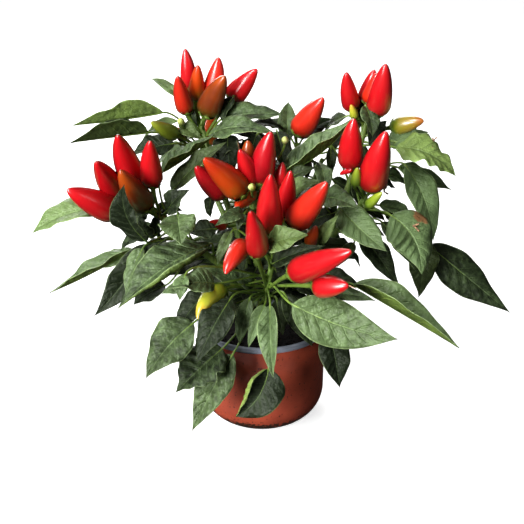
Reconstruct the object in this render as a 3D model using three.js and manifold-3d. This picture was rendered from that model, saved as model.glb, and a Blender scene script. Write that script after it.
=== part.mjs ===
// A young chilli pepper plant with ripening fruit, growing in a small round nursery pot.
// Millimetres, +Z up. The origin is the middle of the pot's flat underside.

import * as THREE from 'three';
import { mergeVertices } from 'three/addons/utils/BufferGeometryUtils.js';
import Module from 'manifold-3d';

const wasm = await Module();
wasm.setup();

// ---------------------------------------------------------------- driving dimensions

const GAP = 0.3;                 // free space kept between neighbouring pieces

// Pot: a thin moulded bowl-bottomed pot with a flat lip
const POT_HEIGHT = 87;
const LIP_RADIUS = 55;
const LIP_DEPTH = 5;
const WALL = 1.2;
const WALL_TOP_RADIUS = 53.8;    // outside of the wall, just under the lip
const CORNER_RADIUS = 27.4;      // the large rounding between the wall and the base
const BASE_FLAT_RADIUS = 26;
const POT_FACETS = 36;
const DRAIN_HOLES = 6;
const DRAIN_RADIUS = 3.5;
const DRAIN_CIRCLE = 21;

// Soil and the planted foot of the stem
const SOIL_TOP = 77;
const SOIL_CROWN = 79.5;         // the peat is mounded a little round the stem
const SOIL_CROWN_RADIUS = 25;    // where the mound begins
const SOIL_EDGE = 1.5;           // drop and, nearly three times, width of the sunken rim of the peat
const PLANTING_DEPTH = 31;
const TRUNK_RADIUS = 5.4;

// Stalks of berries
const STALK_RADIUS = 1.1;
const STALK_SWELLING = 0.6;      // how much thicker a stalk is where it meets its berry
const SHOULDER = 0.22;           // part of a berry's length that its round shoulder takes
const TIP_RADIUS = 0.4;
const BERRY_SIDES = 7;
const BERRY_STATIONS = [0.03, 0.12, 0.28, 0.48, 0.68, 0.84, 0.95, 1];

// Leaves
const PETIOLE_RADIUS = 0.9;
const LEAF_THICKNESS = 0.9;
const LEAF_STEPS = 7;
const LEAF_FOLD = [18, 18];      // degrees that the two halves of a blade lift from flat
const LEAF_ARCH = 0.12;          // rise of the midrib's middle, as a part of the blade's length
const LEAF_OUTWARD = 0.4;        // how much an upper side turns away from the plant's middle
const LEAF_TO_LIGHT = 0.9;       // how much it turns to the light, which came from the front
const WIDEST_AT = 0.4;           // where a blade is widest, from its base

// The trunk and its forks: points from foot to end, radius at the foot, radius at the end
const TRUNK_FOOT = SOIL_TOP - PLANTING_DEPTH;
const BRANCHES = {
  trunk: [[[0, 0, TRUNK_FOOT], [0, 0, SOIL_CROWN + 2], [0, -1, 92], [1, -3, 112]], TRUNK_RADIUS, 4.4],
  left: [[[1, -2, 106], [-16, -12, 128], [-40, -27, 152], [-64, -35, 176], [-80, -38, 193]], 3.4, 2.2],
  topleft: [[[1, -3, 110], [-12, 4, 136], [-24, 13, 170], [-40, 29, 212], [-50, 38, 244]], 3.2, 2.2],
  centre: [[[1, -3, 112], [-4, -4, 138], [-8, -6, 166], [-6, -12, 200]], 2.8, 2],
  midright: [[[1, -3, 110], [12, 8, 142], [20, 18, 176], [27, 28, 214], [29, 30, 232]], 2.8, 2],
  topright: [[[1, -3, 108], [28, 2, 130], [54, 6, 158], [74, 14, 212], [83, 18, 252]], 3.4, 2.2],
  right: [[[46, 5, 148], [60, -4, 166], [72, -11, 182], [81, -14, 198]], 2.8, 2.2],
  front: [[[1, -3, 104], [2, -26, 116], [3, -48, 132], [6, -58, 150], [8, -58, 162]], 3, 2.2],
  lowright: [[[1, -3, 106], [18, -14, 116], [38, -27, 126], [56, -36, 136]], 2.8, 2],
  backleft: [[[1, -3, 108], [-14, 22, 134], [-36, 50, 170], [-54, 72, 204]], 3, 2],
  backright: [[[1, -3, 106], [16, 26, 134], [36, 54, 172], [54, 78, 208]], 3, 2],
};

// Leaves: name, branch, how far along it, blade base, blade tip, width, and the blade's habit:
// its arch and sideways bend as parts of its length, and its roll and the fold of each half in
// degrees. What a habit leaves out is usual for the plant.
const LEAVES = [
  ['left_broad', 'left', 0.78, [-86, -35, 166], [-129, -55, 114.5], 27,
    { arch: 0, bend: -0.04, roll: -8, fold: [40, 5] }],
  ['left_folded', 'left', 0.60, [-43, -45, 168], [-105, -80, 132], 36, { arch: 0.12, fold: [8, 0] }],
  ['left_slender', 'left', 0.70, [-102, -20, 157], [-171, -25, 121.5], 22,
    { arch: -0.01, bend: -0.005, roll: 17, fold: [35, 66] }],
  ['left_outermost', 'left', 0.96, [-119, -25, 193], [-179, -25, 171.5], 28.5,
    { arch: 0.115, bend: 0.01, fold: [15, 38] }],
  ['left_upright', 'left', 0.84, [-84, -62, 177.5], [-93, -85, 226], 27, { arch: 0.05, bend: -0.18 }],
  ['left_heart', 'left', 0.66, [-61, -58, 197], [-57, -76, 180], 28, { arch: 0.05, fold: [34, 14] }],
  ['left_reaching', 'left', 0.90, [-76, -20, 219], [-37, 0, 244], 23,
    { arch: -0.06, roll: -12, fold: [70, 35] }],
  ['topleft_upper', 'topleft', 0.89, [-80, 32, 256], [-150, 15, 249], 28,
    { arch: -0.03, roll: 40, fold: [50, 70] }],
  ['topleft_lower', 'topleft', 0.86, [-91, 20, 242], [-148, -5, 239], 32,
    { arch: 0, roll: 30, fold: [45, 70] }],
  ['topleft_inner', 'topleft', 0.84, [-43, 20, 240], [12, 0, 244], 21, { arch: 0.14 }],
  ['middle_back', 'midright', 0.92, [34, 40, 233], [62, 60, 246], 15],
  ['centre_diagonal', 'centre', 0.96, [17, -5, 215], [70, -2, 258], 32,
    { arch: -0.12, bend: 0.04, roll: -17, fold: [74, 35] }],
  ['right_triangle', 'right', 0.45, [46, -16, 198], [72, -40, 196], 22],
  ['right_broad', 'right', 0.72, [60, -25, 192], [92, -60, 169], 27, { arch: -0.04, fold: [5, 28] }],
  ['right_weathered', 'right', 0.80, [100, -20, 185], [122, -45, 145], 43,
    { arch: 0.06, bend: -0.13, fold: [32, -10] }],
  ['right_under', 'right', 0.60, [124, -5, 161], [127, -20, 115], 27, { arch: 0.04, bend: -0.07 }],
  ['right_outermost', 'right', 0.90, [138, 5, 151.5], [207, -10, 97], 34,
    { arch: -0.01, bend: -0.005, roll: 10, fold: [-5, 0] }],
  ['topright_hanging', 'topright', 0.72, [116, 15, 216], [140, 0, 156.5], 27,
    { arch: 0.06, bend: -0.06, roll: 16, fold: [25, 0] }],
  ['topright_edge_on', 'topright', 0.78, [111, 22, 213], [158, 25, 193], 18, { arch: 0.04 }],
  ['topright_bright', 'topright', 0.88, [105, 5, 233], [152, -5, 212], 33,
    { arch: 0.15, bend: -0.02, fold: [20, 5] }],
  ['lowright_long', 'lowright', 0.97, [70, -45, 137], [148, -75, 98], 34,
    { arch: 0.01, roll: -12, fold: [76, 40] }],
  ['front_right_broad', 'front', 0.78, [22, -76, 134], [96, -102, 118.5], 36,
    { arch: -0.12, bend: 0.01, roll: 18, fold: [0, 8] }],
  ['pot_right', 'lowright', 0.60, [52, -50, 101], [61, -62, 56], 25, { arch: 0.08 }],
  ['front_centre', 'front', 0.70, [6, -75, 133], [8, -100, 86], 19, { arch: 0.06, fold: [20, 62] }],
  ['front_left_broad', 'front', 0.64, [-22, -80, 141], [-46, -105, 101], 25],
  ['lowleft_broad', 'front', 0.54, [-50, -80, 121], [-84, -100, 86], 33,
    { arch: 0.02, bend: 0.06, fold: [20, 20] }],
  ['lowleft_curled', 'front', 0.85, [-34, -78, 151], [-67, -92, 153], 20, { arch: 0.14 }],
  ['centre_bright', 'front', 0.90, [4, -76, 179], [32, -90, 192], 20],
  ['pot_left_bright', 'front', 0.30, [-22, -70, 90], [-54, -85, 31], 27, { arch: 0.02, bend: 0.02 }],
  ['pot_left_dark', 'front', 0.36, [-30, -66, 93], [-65, -84, 65], 38, { arch: 0.03 }],
  ['pot_front', 'front', 0.24, [5, -78, 82], [-20, -86, 45], 34,
    { arch: 0.05, bend: -0.14, fold: [30, 0] }],
  ['back_left_high', 'backleft', 0.90, [-68, 88, 212], [-100, 118, 190], 24],
  ['back_left_low', 'backleft', 0.70, [-22, 78, 166], [-36, 112, 128], 26],
  ['back_middle', 'backright', 0.70, [22, 84, 176], [4, 122, 144], 26],
  ['back_right_high', 'backright', 0.95, [70, 92, 214], [106, 112, 194], 24],
  ['back_right_low', 'backright', 0.60, [62, 66, 158], [98, 92, 122], 26],
];

// Chillies: name, branch, how far along it, neck where the berry starts, tip, width, ripeness
const CHILLIES = [
  ['topleft_1', 'topleft', 0.95, [-61, 62, 270], [-64, 66, 303], 14, 'red'],
  ['topleft_2', 'topleft', 0.92, [-61, 38, 254], [-67, 30, 285], 15, 'orange'],
  ['topleft_3', 'topleft', 1.00, [-44, 52, 264], [-36, 58, 297], 17, 'orange'],
  ['topleft_4', 'topleft', 0.97, [-46, 30, 253], [-29, 22, 286], 20, 'turning'],
  ['topleft_5', 'topleft', 0.93, [-26, 45, 263.5], [-4, 50, 288.3], 18, 'red'],
  ['middle_1', 'midright', 0.97, [28, 28, 238.5], [48.3, 20, 269.5], 20, 'orange'],
  ['left_1', 'left', 1.00, [-106.5, -40, 193], [-142, -48, 213], 22, 'red'],
  ['left_2', 'left', 0.93, [-95, -32, 213], [-103, -45, 252], 20, 'red'],
  ['left_3', 'left', 0.88, [-84, -48, 198], [-100, -60, 230], 20, 'turning'],
  ['centre_1', 'centre', 0.94, [-14, -25, 202], [-43, -36, 233], 21.5, 'orange'],
  ['centre_2', 'centre', 0.99, [-2, -15, 208], [7, -15, 249], 21, 'red'],
  ['front_1', 'front', 1.00, [6, -66, 185], [6, -72, 230], 19, 'red'],
  ['front_2', 'front', 0.91, [21, -51, 186], [46, -62, 222], 21, 'orange'],
  ['front_3', 'front', 0.88, [-3, -84, 174], [-8, -94, 210], 16, 'red'],
  ['front_4', 'front', 0.85, [20, -78, 158], [61, -98, 183], 20, 'red'],
  ['front_5', 'front', 0.80, [37, -78, 149.6], [61, -90, 154.6], 18, 'red'],
  ['topright_1', 'topright', 0.97, [71.6, 14, 260], [64.6, 10, 290], 14.5, 'red'],
  ['topright_2', 'topright', 0.99, [89, 8, 257], [93, 2, 297], 19, 'red'],
  ['right_1', 'right', 0.97, [69, -12, 220], [69, -16, 259], 20, 'red'],
  ['right_2', 'right', 0.99, [83, -22, 205], [91, -30, 252], 23, 'red'],
  ['back_1', 'backleft', 0.99, [-50, 84, 218], [-48, 96, 254], 18, 'orange'],
];

// ---------------------------------------------------------------- shared shaping

const UP = new THREE.Vector3(0, 0, 1);
const LIGHT = new THREE.Vector3(-0.2, -1, 0).normalize();
const CLAY = { color: 0x8a4a35, roughness: 0.75, metalness: 0 };
const PEAT = { color: 0x1d1511, roughness: 1, metalness: 0 };
const BARK = { color: 0x6f7a3a, roughness: 0.7, metalness: 0 };
const LEAF = { color: 0x3e6130, roughness: 0.45, metalness: 0 };
const RIPENESS = {
  red: { color: 0xd8141c, roughness: 0.18, metalness: 0 },
  orange: { color: 0xe8521c, roughness: 0.18, metalness: 0 },
  turning: { color: 0xa3561b, roughness: 0.2, metalness: 0 },
};

const plant = new THREE.Group();

function vec([x, y, z]) {
  return new THREE.Vector3(x, y, z);
}

function add(name, geometry, look) {
  const mesh = new THREE.Mesh(geometry, new THREE.MeshStandardMaterial(look));
  mesh.name = name;
  plant.add(mesh);
}

// A closed body through a row of stations. Each station has a centre, a side and a normal
// direction, and a section that turns a point of the unit circle into its two offsets.
function loft(sides, stations) {
  const steps = stations.length - 1;
  const skin = new THREE.CylinderGeometry(1, 1, steps, sides, steps);
  skin.deleteAttribute('normal');
  skin.deleteAttribute('uv');
  const body = mergeVertices(skin);
  const points = body.attributes.position;
  for (let i = 0; i < points.count; i++) {
    const station = stations[Math.round(points.getY(i) + steps / 2)];
    const [across, up] = station.section(points.getX(i), points.getZ(i));
    const point = station.centre.clone()
      .addScaledVector(station.side, across)
      .addScaledVector(station.normal, up);
    points.setXYZ(i, point.x, point.y, point.z);
  }
  return body;
}

function round(radius) {
  return (x, z) => [x * radius, z * radius];
}

// Stations along a curve, with the normal carried from the curve's end back to its start.
function stationsAlong(curve, steps, endNormal, section) {
  const stations = [];
  const normal = endNormal.clone();
  for (let i = steps; i >= 0; i--) {
    const tangent = curve.getTangentAt(i / steps);
    normal.addScaledVector(tangent, -normal.dot(tangent)).normalize();
    const side = new THREE.Vector3().crossVectors(tangent, normal);
    stations.unshift({
      centre: curve.getPointAt(i / steps), side, normal: normal.clone(), section: section(i / steps),
    });
  }
  return stations;
}

function anyNormal(direction) {
  const helper = Math.abs(direction.z) > 0.8 ? new THREE.Vector3(0, -1, 0) : UP;
  return helper.clone().addScaledVector(direction, -helper.dot(direction)).normalize();
}

function toSolid(geometry) {
  const bare = geometry.clone();
  bare.deleteAttribute('normal');
  bare.deleteAttribute('uv');
  const merged = mergeVertices(bare);
  const mesh = new wasm.Mesh({
    numProp: 3,
    vertProperties: new Float32Array(merged.attributes.position.array),
    triVerts: new Uint32Array(merged.index.array),
  });
  return new wasm.Manifold(mesh);
}

function toGeometry(solid) {
  const mesh = solid.getMesh();
  const geometry = new THREE.BufferGeometry();
  geometry.setAttribute('position', new THREE.BufferAttribute(mesh.vertProperties, 3));
  geometry.setIndex(new THREE.BufferAttribute(mesh.triVerts, 1));
  return geometry;
}

// ---------------------------------------------------------------- pot

// Points of a quarter turn about a centre, from one angle to another, in degrees.
function arc(x, y, radius, from, to, steps) {
  const points = [];
  for (let i = 0; i <= steps; i++) {
    const angle = THREE.MathUtils.degToRad(from + (to - from) * i / steps);
    points.push(new THREE.Vector2(x + radius * Math.cos(angle), y + radius * Math.sin(angle)));
  }
  return points;
}

const lipFoot = POT_HEIGHT - LIP_DEPTH;
const mouthRadius = WALL_TOP_RADIUS - WALL;
const lipRound = 0.5 * (LIP_RADIUS - mouthRadius);

function pot() {
  const outline = [
    new THREE.Vector2(0, 0),
    ...arc(BASE_FLAT_RADIUS, CORNER_RADIUS, CORNER_RADIUS, -90, 0, 5),
    new THREE.Vector2(WALL_TOP_RADIUS, lipFoot - 1),
    new THREE.Vector2(LIP_RADIUS, lipFoot),
    ...arc(LIP_RADIUS - lipRound, POT_HEIGHT - lipRound, lipRound, 0, 180, 4),
    new THREE.Vector2(mouthRadius, lipFoot),
    ...arc(BASE_FLAT_RADIUS, CORNER_RADIUS, CORNER_RADIUS - WALL, 0, -90, 5),
    new THREE.Vector2(0, WALL),
  ];
  let solid = toSolid(new THREE.LatheGeometry(outline, POT_FACETS).rotateX(Math.PI / 2));
  for (let i = 0; i < DRAIN_HOLES; i++) {
    const angle = 2 * Math.PI * i / DRAIN_HOLES;
    const hole = new THREE.CylinderGeometry(DRAIN_RADIUS, DRAIN_RADIUS, 3 * WALL, 12);
    hole.rotateX(Math.PI / 2);
    hole.translate(DRAIN_CIRCLE * Math.cos(angle), DRAIN_CIRCLE * Math.sin(angle), WALL / 2);
    solid = solid.subtract(toSolid(hole));
  }
  return toGeometry(solid);
}

// ---------------------------------------------------------------- soil

// The soil fills the pot up to its top, and the foot of the trunk stands in a fitting socket.
function soil() {
  const skinRadius = CORNER_RADIUS - WALL - GAP;
  const cornerEdge = BASE_FLAT_RADIUS + skinRadius;
  const shoulder = SOIL_TOP - SOIL_EDGE;
  const climbed = (shoulder - CORNER_RADIUS) / (lipFoot - CORNER_RADIUS);
  const topRadius = THREE.MathUtils.lerp(cornerEdge, mouthRadius - GAP, climbed);
  const socket = TRUNK_RADIUS + GAP;
  const outline = [
    new THREE.Vector2(0, WALL + GAP),
    ...arc(BASE_FLAT_RADIUS, CORNER_RADIUS, skinRadius, -90, 0, 5),
    new THREE.Vector2(topRadius, shoulder),
    new THREE.Vector2(topRadius - 2.8 * SOIL_EDGE, SOIL_TOP),
    new THREE.Vector2(SOIL_CROWN_RADIUS, THREE.MathUtils.lerp(SOIL_TOP, SOIL_CROWN, 0.3)),
    new THREE.Vector2(socket, SOIL_CROWN),
    new THREE.Vector2(socket, TRUNK_FOOT - GAP),
    new THREE.Vector2(0, TRUNK_FOOT - GAP),
  ];
  return new THREE.LatheGeometry(outline, POT_FACETS).rotateX(Math.PI / 2);
}

// ---------------------------------------------------------------- stem

const curves = {};
for (const [name, [points]] of Object.entries(BRANCHES)) {
  curves[name] = new THREE.CatmullRomCurve3(points.map(vec), false, 'centripetal');
}

// All branches grown into one, each thicker by the margin and longer by it at its end.
function branching(margin) {
  let solid = null;
  for (const [name, [, footRadius, endRadius]] of Object.entries(BRANCHES)) {
    const curve = curves[name];
    const sides = name === 'trunk' ? 12 : 6;
    const steps = name === 'trunk' ? 5 : 8;
    const section = (t) => round(THREE.MathUtils.lerp(footRadius, endRadius, t) + margin);
    const stations = stationsAlong(curve, steps, anyNormal(curve.getTangentAt(1)), section);
    stations.at(-1).centre.addScaledVector(curve.getTangentAt(1), margin);
    const tube = toSolid(loft(sides, stations));
    solid = solid ? solid.add(tube) : tube;
  }
  return solid;
}

const stemClearance = branching(GAP);

// A stalk or leaf starts a gap away from the stem's skin. What is left inside falls away.
function trimToStem(geometry) {
  const pieces = toSolid(geometry).subtract(stemClearance).decompose();
  pieces.sort((a, b) => b.volume() - a.volume());
  return toGeometry(pieces[0]);
}

// A curved stalk that leaves the branch slanting forward and arrives along a given direction.
function stalkCurve(branch, place, end, arrival) {
  const start = curves[branch].getPointAt(place);
  const reach = start.distanceTo(end);
  const outward = end.clone().sub(start).normalize();
  const leaving = curves[branch].getTangentAt(place).multiplyScalar(0.25).add(outward).normalize();
  return new THREE.CubicBezierCurve3(
    start,
    start.clone().addScaledVector(leaving, reach / 3),
    end.clone().addScaledVector(arrival, -reach / 5),
    end,
  );
}

// ---------------------------------------------------------------- leaves

// Half the width of a blade at a part u of its length: rounded towards the base, pointed at the tip.
function halfWidth(u, width) {
  const rise = Math.pow(u / WIDEST_AT, 0.75);
  const fall = Math.pow((1 - u) / (1 - WIDEST_AT), 1.3);
  return Math.max(PETIOLE_RADIUS, 0.5 * width * rise * fall);
}

// A blade's cross-section: two halves that lift from the midrib, with thin edges. The section
// has six corners, so its outermost ones lie at the sine of 60 degrees.
function bladeSection(half, fold) {
  const outermost = Math.sin(Math.PI / 3);
  return (x, z) => {
    const sign = Math.sign(Math.round(x * 1000));
    const lifted = THREE.MathUtils.degToRad(sign > 0 ? fold[0] : fold[1]) * Math.abs(sign);
    const reach = Math.abs(x) / outermost * half;
    const skin = 0.5 * LEAF_THICKNESS * z;
    const across = reach * Math.cos(lifted) - skin * Math.sin(lifted);
    return [sign * across, reach * Math.sin(lifted) + skin * Math.cos(lifted)];
  };
}

function leaf(branch, place, base, tip, width, habit = {}) {
  const { arch = LEAF_ARCH, bend = 0, roll = 0, fold = LEAF_FOLD } = habit;
  const start = vec(base);
  const end = vec(tip);
  const length = start.distanceTo(end);
  const along = end.clone().sub(start).normalize();
  const outward = new THREE.Vector3(start.x + end.x, start.y + end.y, 0).normalize();
  const facing = UP.clone()
    .addScaledVector(outward, LEAF_OUTWARD)
    .addScaledVector(LIGHT, LEAF_TO_LIGHT);
  facing.addScaledVector(along, -facing.dot(along)).normalize();
  const sideways = new THREE.Vector3().crossVectors(along, facing);
  const middle = start.clone().lerp(end, 0.5)
    .addScaledVector(facing, 2 * arch * length)
    .addScaledVector(sideways, 2 * bend * length);
  const midrib = new THREE.QuadraticBezierCurve3(start, middle, end);
  const turn = THREE.MathUtils.degToRad(roll);

  const blade = [];
  for (let i = 0; i <= LEAF_STEPS; i++) {
    const u = i / LEAF_STEPS;
    const tangent = midrib.getTangentAt(u);
    const normal = facing.clone().addScaledVector(tangent, -facing.dot(tangent)).normalize();
    normal.applyAxisAngle(tangent, turn);
    const side = new THREE.Vector3().crossVectors(tangent, normal);
    const section = bladeSection(halfWidth(u, width), fold);
    blade.push({ centre: midrib.getPointAt(u), side, normal, section });
  }
  const arrival = midrib.getTangentAt(0).add(along).normalize();
  const petiole = stalkCurve(branch, place, start, arrival);
  const stem = stationsAlong(petiole, 3, blade[0].normal, () => round(PETIOLE_RADIUS));
  stem.pop();
  return trimToStem(loft(6, [...stem, ...blade]));
}

// ---------------------------------------------------------------- chillies

// Radius of a berry along its length: a round shoulder, then a long taper to a blunt point.
function berryRadius(u, width) {
  if (u < SHOULDER) {
    return 0.5 * width * Math.sqrt(1 - Math.pow(1 - u / SHOULDER, 2));
  }
  const taper = (u - SHOULDER) / (1 - SHOULDER);
  const narrowed = Math.sqrt(1 - Math.pow(taper, 2.6)) * (1 - 0.36 * Math.pow(taper, 1.5));
  return Math.max(TIP_RADIUS, 0.5 * width * narrowed);
}

// A stalk and its berry grow as one piece.
function chilli(branch, place, neck, tip, width) {
  const start = vec(neck);
  const end = vec(tip);
  const along = end.clone().sub(start).normalize();
  const normal = anyNormal(along);
  const axis = new THREE.LineCurve3(start, end);
  const side = new THREE.Vector3().crossVectors(along, normal);
  const berry = BERRY_STATIONS.map((u) => {
    return { centre: axis.getPoint(u), side, normal, section: round(berryRadius(u, width)) };
  });
  const swelling = (t) => round(STALK_RADIUS + STALK_SWELLING * t * t);
  const stalk = stationsAlong(stalkCurve(branch, place, start, along), 3, normal, swelling);
  return trimToStem(loft(BERRY_SIDES, [...stalk, ...berry]));
}

// ---------------------------------------------------------------- assembly

add('pot', pot(), CLAY);
add('soil', soil(), PEAT);
add('stem', toGeometry(branching(0)), BARK);
for (const [name, ...row] of LEAVES) {
  add(`leaf_${name}`, leaf(...row), LEAF);
}
for (const [name, branch, place, neck, tip, width, ripeness] of CHILLIES) {
  add(`chilli_${name}`, chilli(branch, place, neck, tip, width), RIPENESS[ripeness]);
}

export default plant;
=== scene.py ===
import math
import random

import bmesh
import bpy
from mathutils import Matrix, Vector, geometry, noise


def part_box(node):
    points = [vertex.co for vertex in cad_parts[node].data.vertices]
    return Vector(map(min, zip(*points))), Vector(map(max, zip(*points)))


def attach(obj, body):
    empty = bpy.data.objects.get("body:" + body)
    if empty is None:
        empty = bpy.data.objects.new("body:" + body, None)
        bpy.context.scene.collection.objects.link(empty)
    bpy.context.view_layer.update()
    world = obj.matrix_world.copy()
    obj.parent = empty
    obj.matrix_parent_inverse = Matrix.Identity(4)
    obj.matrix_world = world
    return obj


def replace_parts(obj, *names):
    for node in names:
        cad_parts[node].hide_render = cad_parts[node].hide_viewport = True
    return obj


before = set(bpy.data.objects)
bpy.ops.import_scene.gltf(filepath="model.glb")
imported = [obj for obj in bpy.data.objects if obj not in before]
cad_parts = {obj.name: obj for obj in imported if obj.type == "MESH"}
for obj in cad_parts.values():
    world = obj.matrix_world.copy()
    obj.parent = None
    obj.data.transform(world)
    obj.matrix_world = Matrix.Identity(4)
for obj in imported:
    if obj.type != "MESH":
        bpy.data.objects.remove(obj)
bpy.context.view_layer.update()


# ---------------------------------------------------------------------------------------
# POT. A thin nursery pot, pressed from two-layer plastic sheet: terracotta colour outside
# and grey inside. The sheet is turned out flat round the mouth, so the lip shows grey.

MM = 0.001
pot_low, pot_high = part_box("pot")
lip_radius = (pot_high.x - pot_low.x) / 2
pot_height = pot_high.z
lip_foot = pot_height - 5 * MM
pot_wall = 1.2 * MM
wall_top_radius = lip_radius - 1.2 * MM
corner_radius = 27.4 * MM
base_flat_radius = 26 * MM
mouth_radius = wall_top_radius - pot_wall
lip_round = (lip_radius - mouth_radius) / 2
pot_steps = 96
drain_holes = 6
hole_radius = 3.5 * MM
hole_circle = 21 * MM


def paint(red, green, blue):
    """A paint colour given in everyday 0 to 255 parts, as Blender's linear colour."""
    def linear(part):
        part /= 255
        return part / 12.92 if part <= 0.04045 else ((part + 0.055) / 1.055) ** 2.4
    return (linear(red), linear(green), linear(blue), 1)


class Finish:
    """A procedural material under construction, with short ways to add the nodes it needs."""

    def __init__(self, name):
        self.material = bpy.data.materials.new(name)
        self.material.use_nodes = True
        self.tree = self.material.node_tree
        self.tree.nodes.clear()

    def join(self, socket, value):
        if isinstance(value, bpy.types.NodeSocket):
            self.tree.links.new(value, socket)
        else:
            socket.default_value = value

    def node(self, kind, inputs, **settings):
        made = self.tree.nodes.new("ShaderNode" + kind)
        for key, value in settings.items():
            setattr(made, key, value)
        for key, value in inputs.items():
            self.join(made.inputs[key], value)
        return made

    def place(self):
        return self.node("TexCoord", {}).outputs["Object"]

    def noise(self, scale, detail=3, roughness=0.55, vector=None):
        inputs = {"Vector": vector or self.place(), "Scale": scale, "Detail": detail, "Roughness": roughness}
        return self.node("TexNoise", inputs).outputs[0]

    def value(self, attribute):
        return self.node("Attribute", {}, attribute_name=attribute).outputs["Fac"]

    def sum(self, operation, *numbers):
        return self.node("Math", dict(enumerate(numbers)), operation=operation).outputs[0]

    def ramp(self, value, low, high, to_low=0.0, to_high=1.0):
        """Runs smoothly from to_low to to_high while the value goes from low to high."""
        inputs = {"Value": value, "From Min": low, "From Max": high, "To Min": to_low, "To Max": to_high}
        return self.node("MapRange", inputs, interpolation_type="SMOOTHSTEP").outputs["Result"]

    def mix(self, share, first, second):
        return self.node("Mix", {0: share, 6: first, 7: second}, data_type="RGBA").outputs[2]

    def bump(self, height, distance, strength):
        return self.node("Bump", {"Height": height, "Distance": distance, "Strength": strength}).outputs[0]

    def coat_on(self, surface):
        self.node("OutputMaterial", {"Surface": surface})
        return self.material


def finish_piece(bm, name, materials, smooth=True):
    """Turns a bmesh into a piece of the plant with its finishes, riding on the only body."""
    mesh = bpy.data.meshes.new(name)
    for face in bm.faces:
        face.smooth = smooth
    bm.to_mesh(mesh)
    bm.free()
    for material in materials:
        mesh.materials.append(material)
    piece = bpy.data.objects.new(name, mesh)
    bpy.context.scene.collection.objects.link(piece)
    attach(piece, "root")
    return piece


def arc(x, z, radius, start, end, steps):
    """Points on part of a circle in the plane of a turned outline. Angles are in degrees."""
    angles = [math.radians(start + (end - start) * i / steps) for i in range(steps + 1)]
    return [(x + radius * math.cos(a), z + radius * math.sin(a)) for a in angles]


def turn_on_axis(outline, steps):
    """Spins an outline of radius and height into a closed skin that faces outwards."""
    bm = bmesh.new()
    corners = [bm.verts.new((x, 0, z)) for x, z in outline]
    edges = [bm.edges.new(pair) for pair in zip(corners, corners[1:])]
    bmesh.ops.spin(bm, geom=corners + edges, axis=(0, 0, 1), cent=(0, 0, 0),
                   angle=2 * math.pi, steps=steps, use_merge=True)
    bmesh.ops.remove_doubles(bm, verts=bm.verts, dist=0.01 * MM)
    bmesh.ops.recalc_face_normals(bm, faces=bm.faces)
    return bm


def settle(piece):
    """Makes a piece's modifiers part of its mesh."""
    bpy.context.view_layer.update()
    made = bpy.data.meshes.new_from_object(piece.evaluated_get(bpy.context.evaluated_depsgraph_get()))
    piece.modifiers.clear()
    piece.data = made


def pot_plastic(name, light, dark, soiling):
    """Matt plastic with faint drawing lines up the wall, scuffs, and soil splashed at the foot."""
    skin = Finish(name)
    place = skin.place()
    height = skin.node("SeparateXYZ", {0: place}).outputs["Z"]
    clouds = skin.noise(26, 4, 0.6)
    drawn = skin.node("Mapping", {"Vector": place, "Scale": (1, 1, 0.05)}).outputs[0]
    lines = skin.noise(420, 2, 0.5, drawn)
    specks = skin.noise(360, 3, 0.7)
    low = skin.ramp(height, 3 * MM, 22 * MM, 0.22, 0.62)
    soil = skin.ramp(skin.sum("SUBTRACT", specks, low), 0, 0.07, 0, soiling)
    splashes = skin.ramp(specks, 0.80, 0.84, 0, 0.3 * soiling)
    soil = skin.sum("MAXIMUM", soil, splashes)
    colour = skin.mix(skin.ramp(clouds, 0.35, 0.7), light, dark)
    colour = skin.mix(skin.ramp(lines, 0.3, 0.8, 0, 0.25), colour, dark)
    colour = skin.mix(soil, colour, paint(42, 30, 20))
    relief = skin.sum("ADD", skin.sum("MULTIPLY", lines, 0.4), soil)
    shine = skin.node("BsdfPrincipled", {
        "Base Color": colour,
        "Roughness": skin.ramp(clouds, 0.3, 0.75, 0.40, 0.58),
        "Normal": skin.bump(relief, 0.12 * MM, 0.6),
        "Specular IOR Level": 0.35,
    })
    return skin.coat_on(shine.outputs[0])


terracotta = pot_plastic("terracotta_plastic", paint(173, 75, 51), paint(144, 60, 41), 1.0)
grey_plastic = pot_plastic("grey_plastic", paint(138, 144, 156), paint(112, 118, 130), 0.2)
half_wall = pot_wall / 2

# The outer layer ends under the lip, and the grey lining is turned out over it.
outer_layer = turn_on_axis([
    (0, 0),
    *arc(base_flat_radius, corner_radius, corner_radius, -90, 0, 14),
    (wall_top_radius - 0.3 * MM, 0.5 * (corner_radius + lip_foot)),
    (wall_top_radius, lip_foot - 0.5 * MM),
    (wall_top_radius - half_wall, lip_foot - 0.5 * MM),
    *arc(base_flat_radius, corner_radius, corner_radius - half_wall, 0, -90, 14),
    (0, half_wall),
], pot_steps)
lining_layer = turn_on_axis([
    (0, half_wall),
    *arc(base_flat_radius, corner_radius, corner_radius - half_wall, -90, 0, 10),
    (wall_top_radius - half_wall, lip_foot - 0.5 * MM),
    (wall_top_radius + 0.2 * MM, lip_foot - 0.5 * MM),
    (lip_radius - 0.4 * MM, lip_foot - 0.1 * MM),
    (lip_radius, lip_foot + 0.4 * MM),
    (lip_radius - 0.1 * MM, lip_foot + 1.8 * MM),
    (lip_radius - 0.5 * MM, lip_foot + 2.2 * MM),
    (lip_radius - 0.2 * MM, lip_foot + 2.7 * MM),
    *arc(lip_radius - lip_round, pot_height - lip_round, lip_round, 0, 180, 10),
    (mouth_radius, lip_foot),
    *arc(base_flat_radius, corner_radius, corner_radius - pot_wall, 0, -90, 10),
    (0, pot_wall),
], pot_steps)
punches = bmesh.new()
for i in range(drain_holes):
    hole = Matrix.Rotation(2 * math.pi * i / drain_holes, 4, "Z") @ Matrix.Translation((hole_circle, 0, 0))
    bmesh.ops.create_cone(punches, cap_ends=True, segments=24, radius1=hole_radius, radius2=hole_radius,
                          depth=4 * pot_wall, matrix=hole)
punch_mesh = bpy.data.meshes.new("hole_punches")
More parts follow.
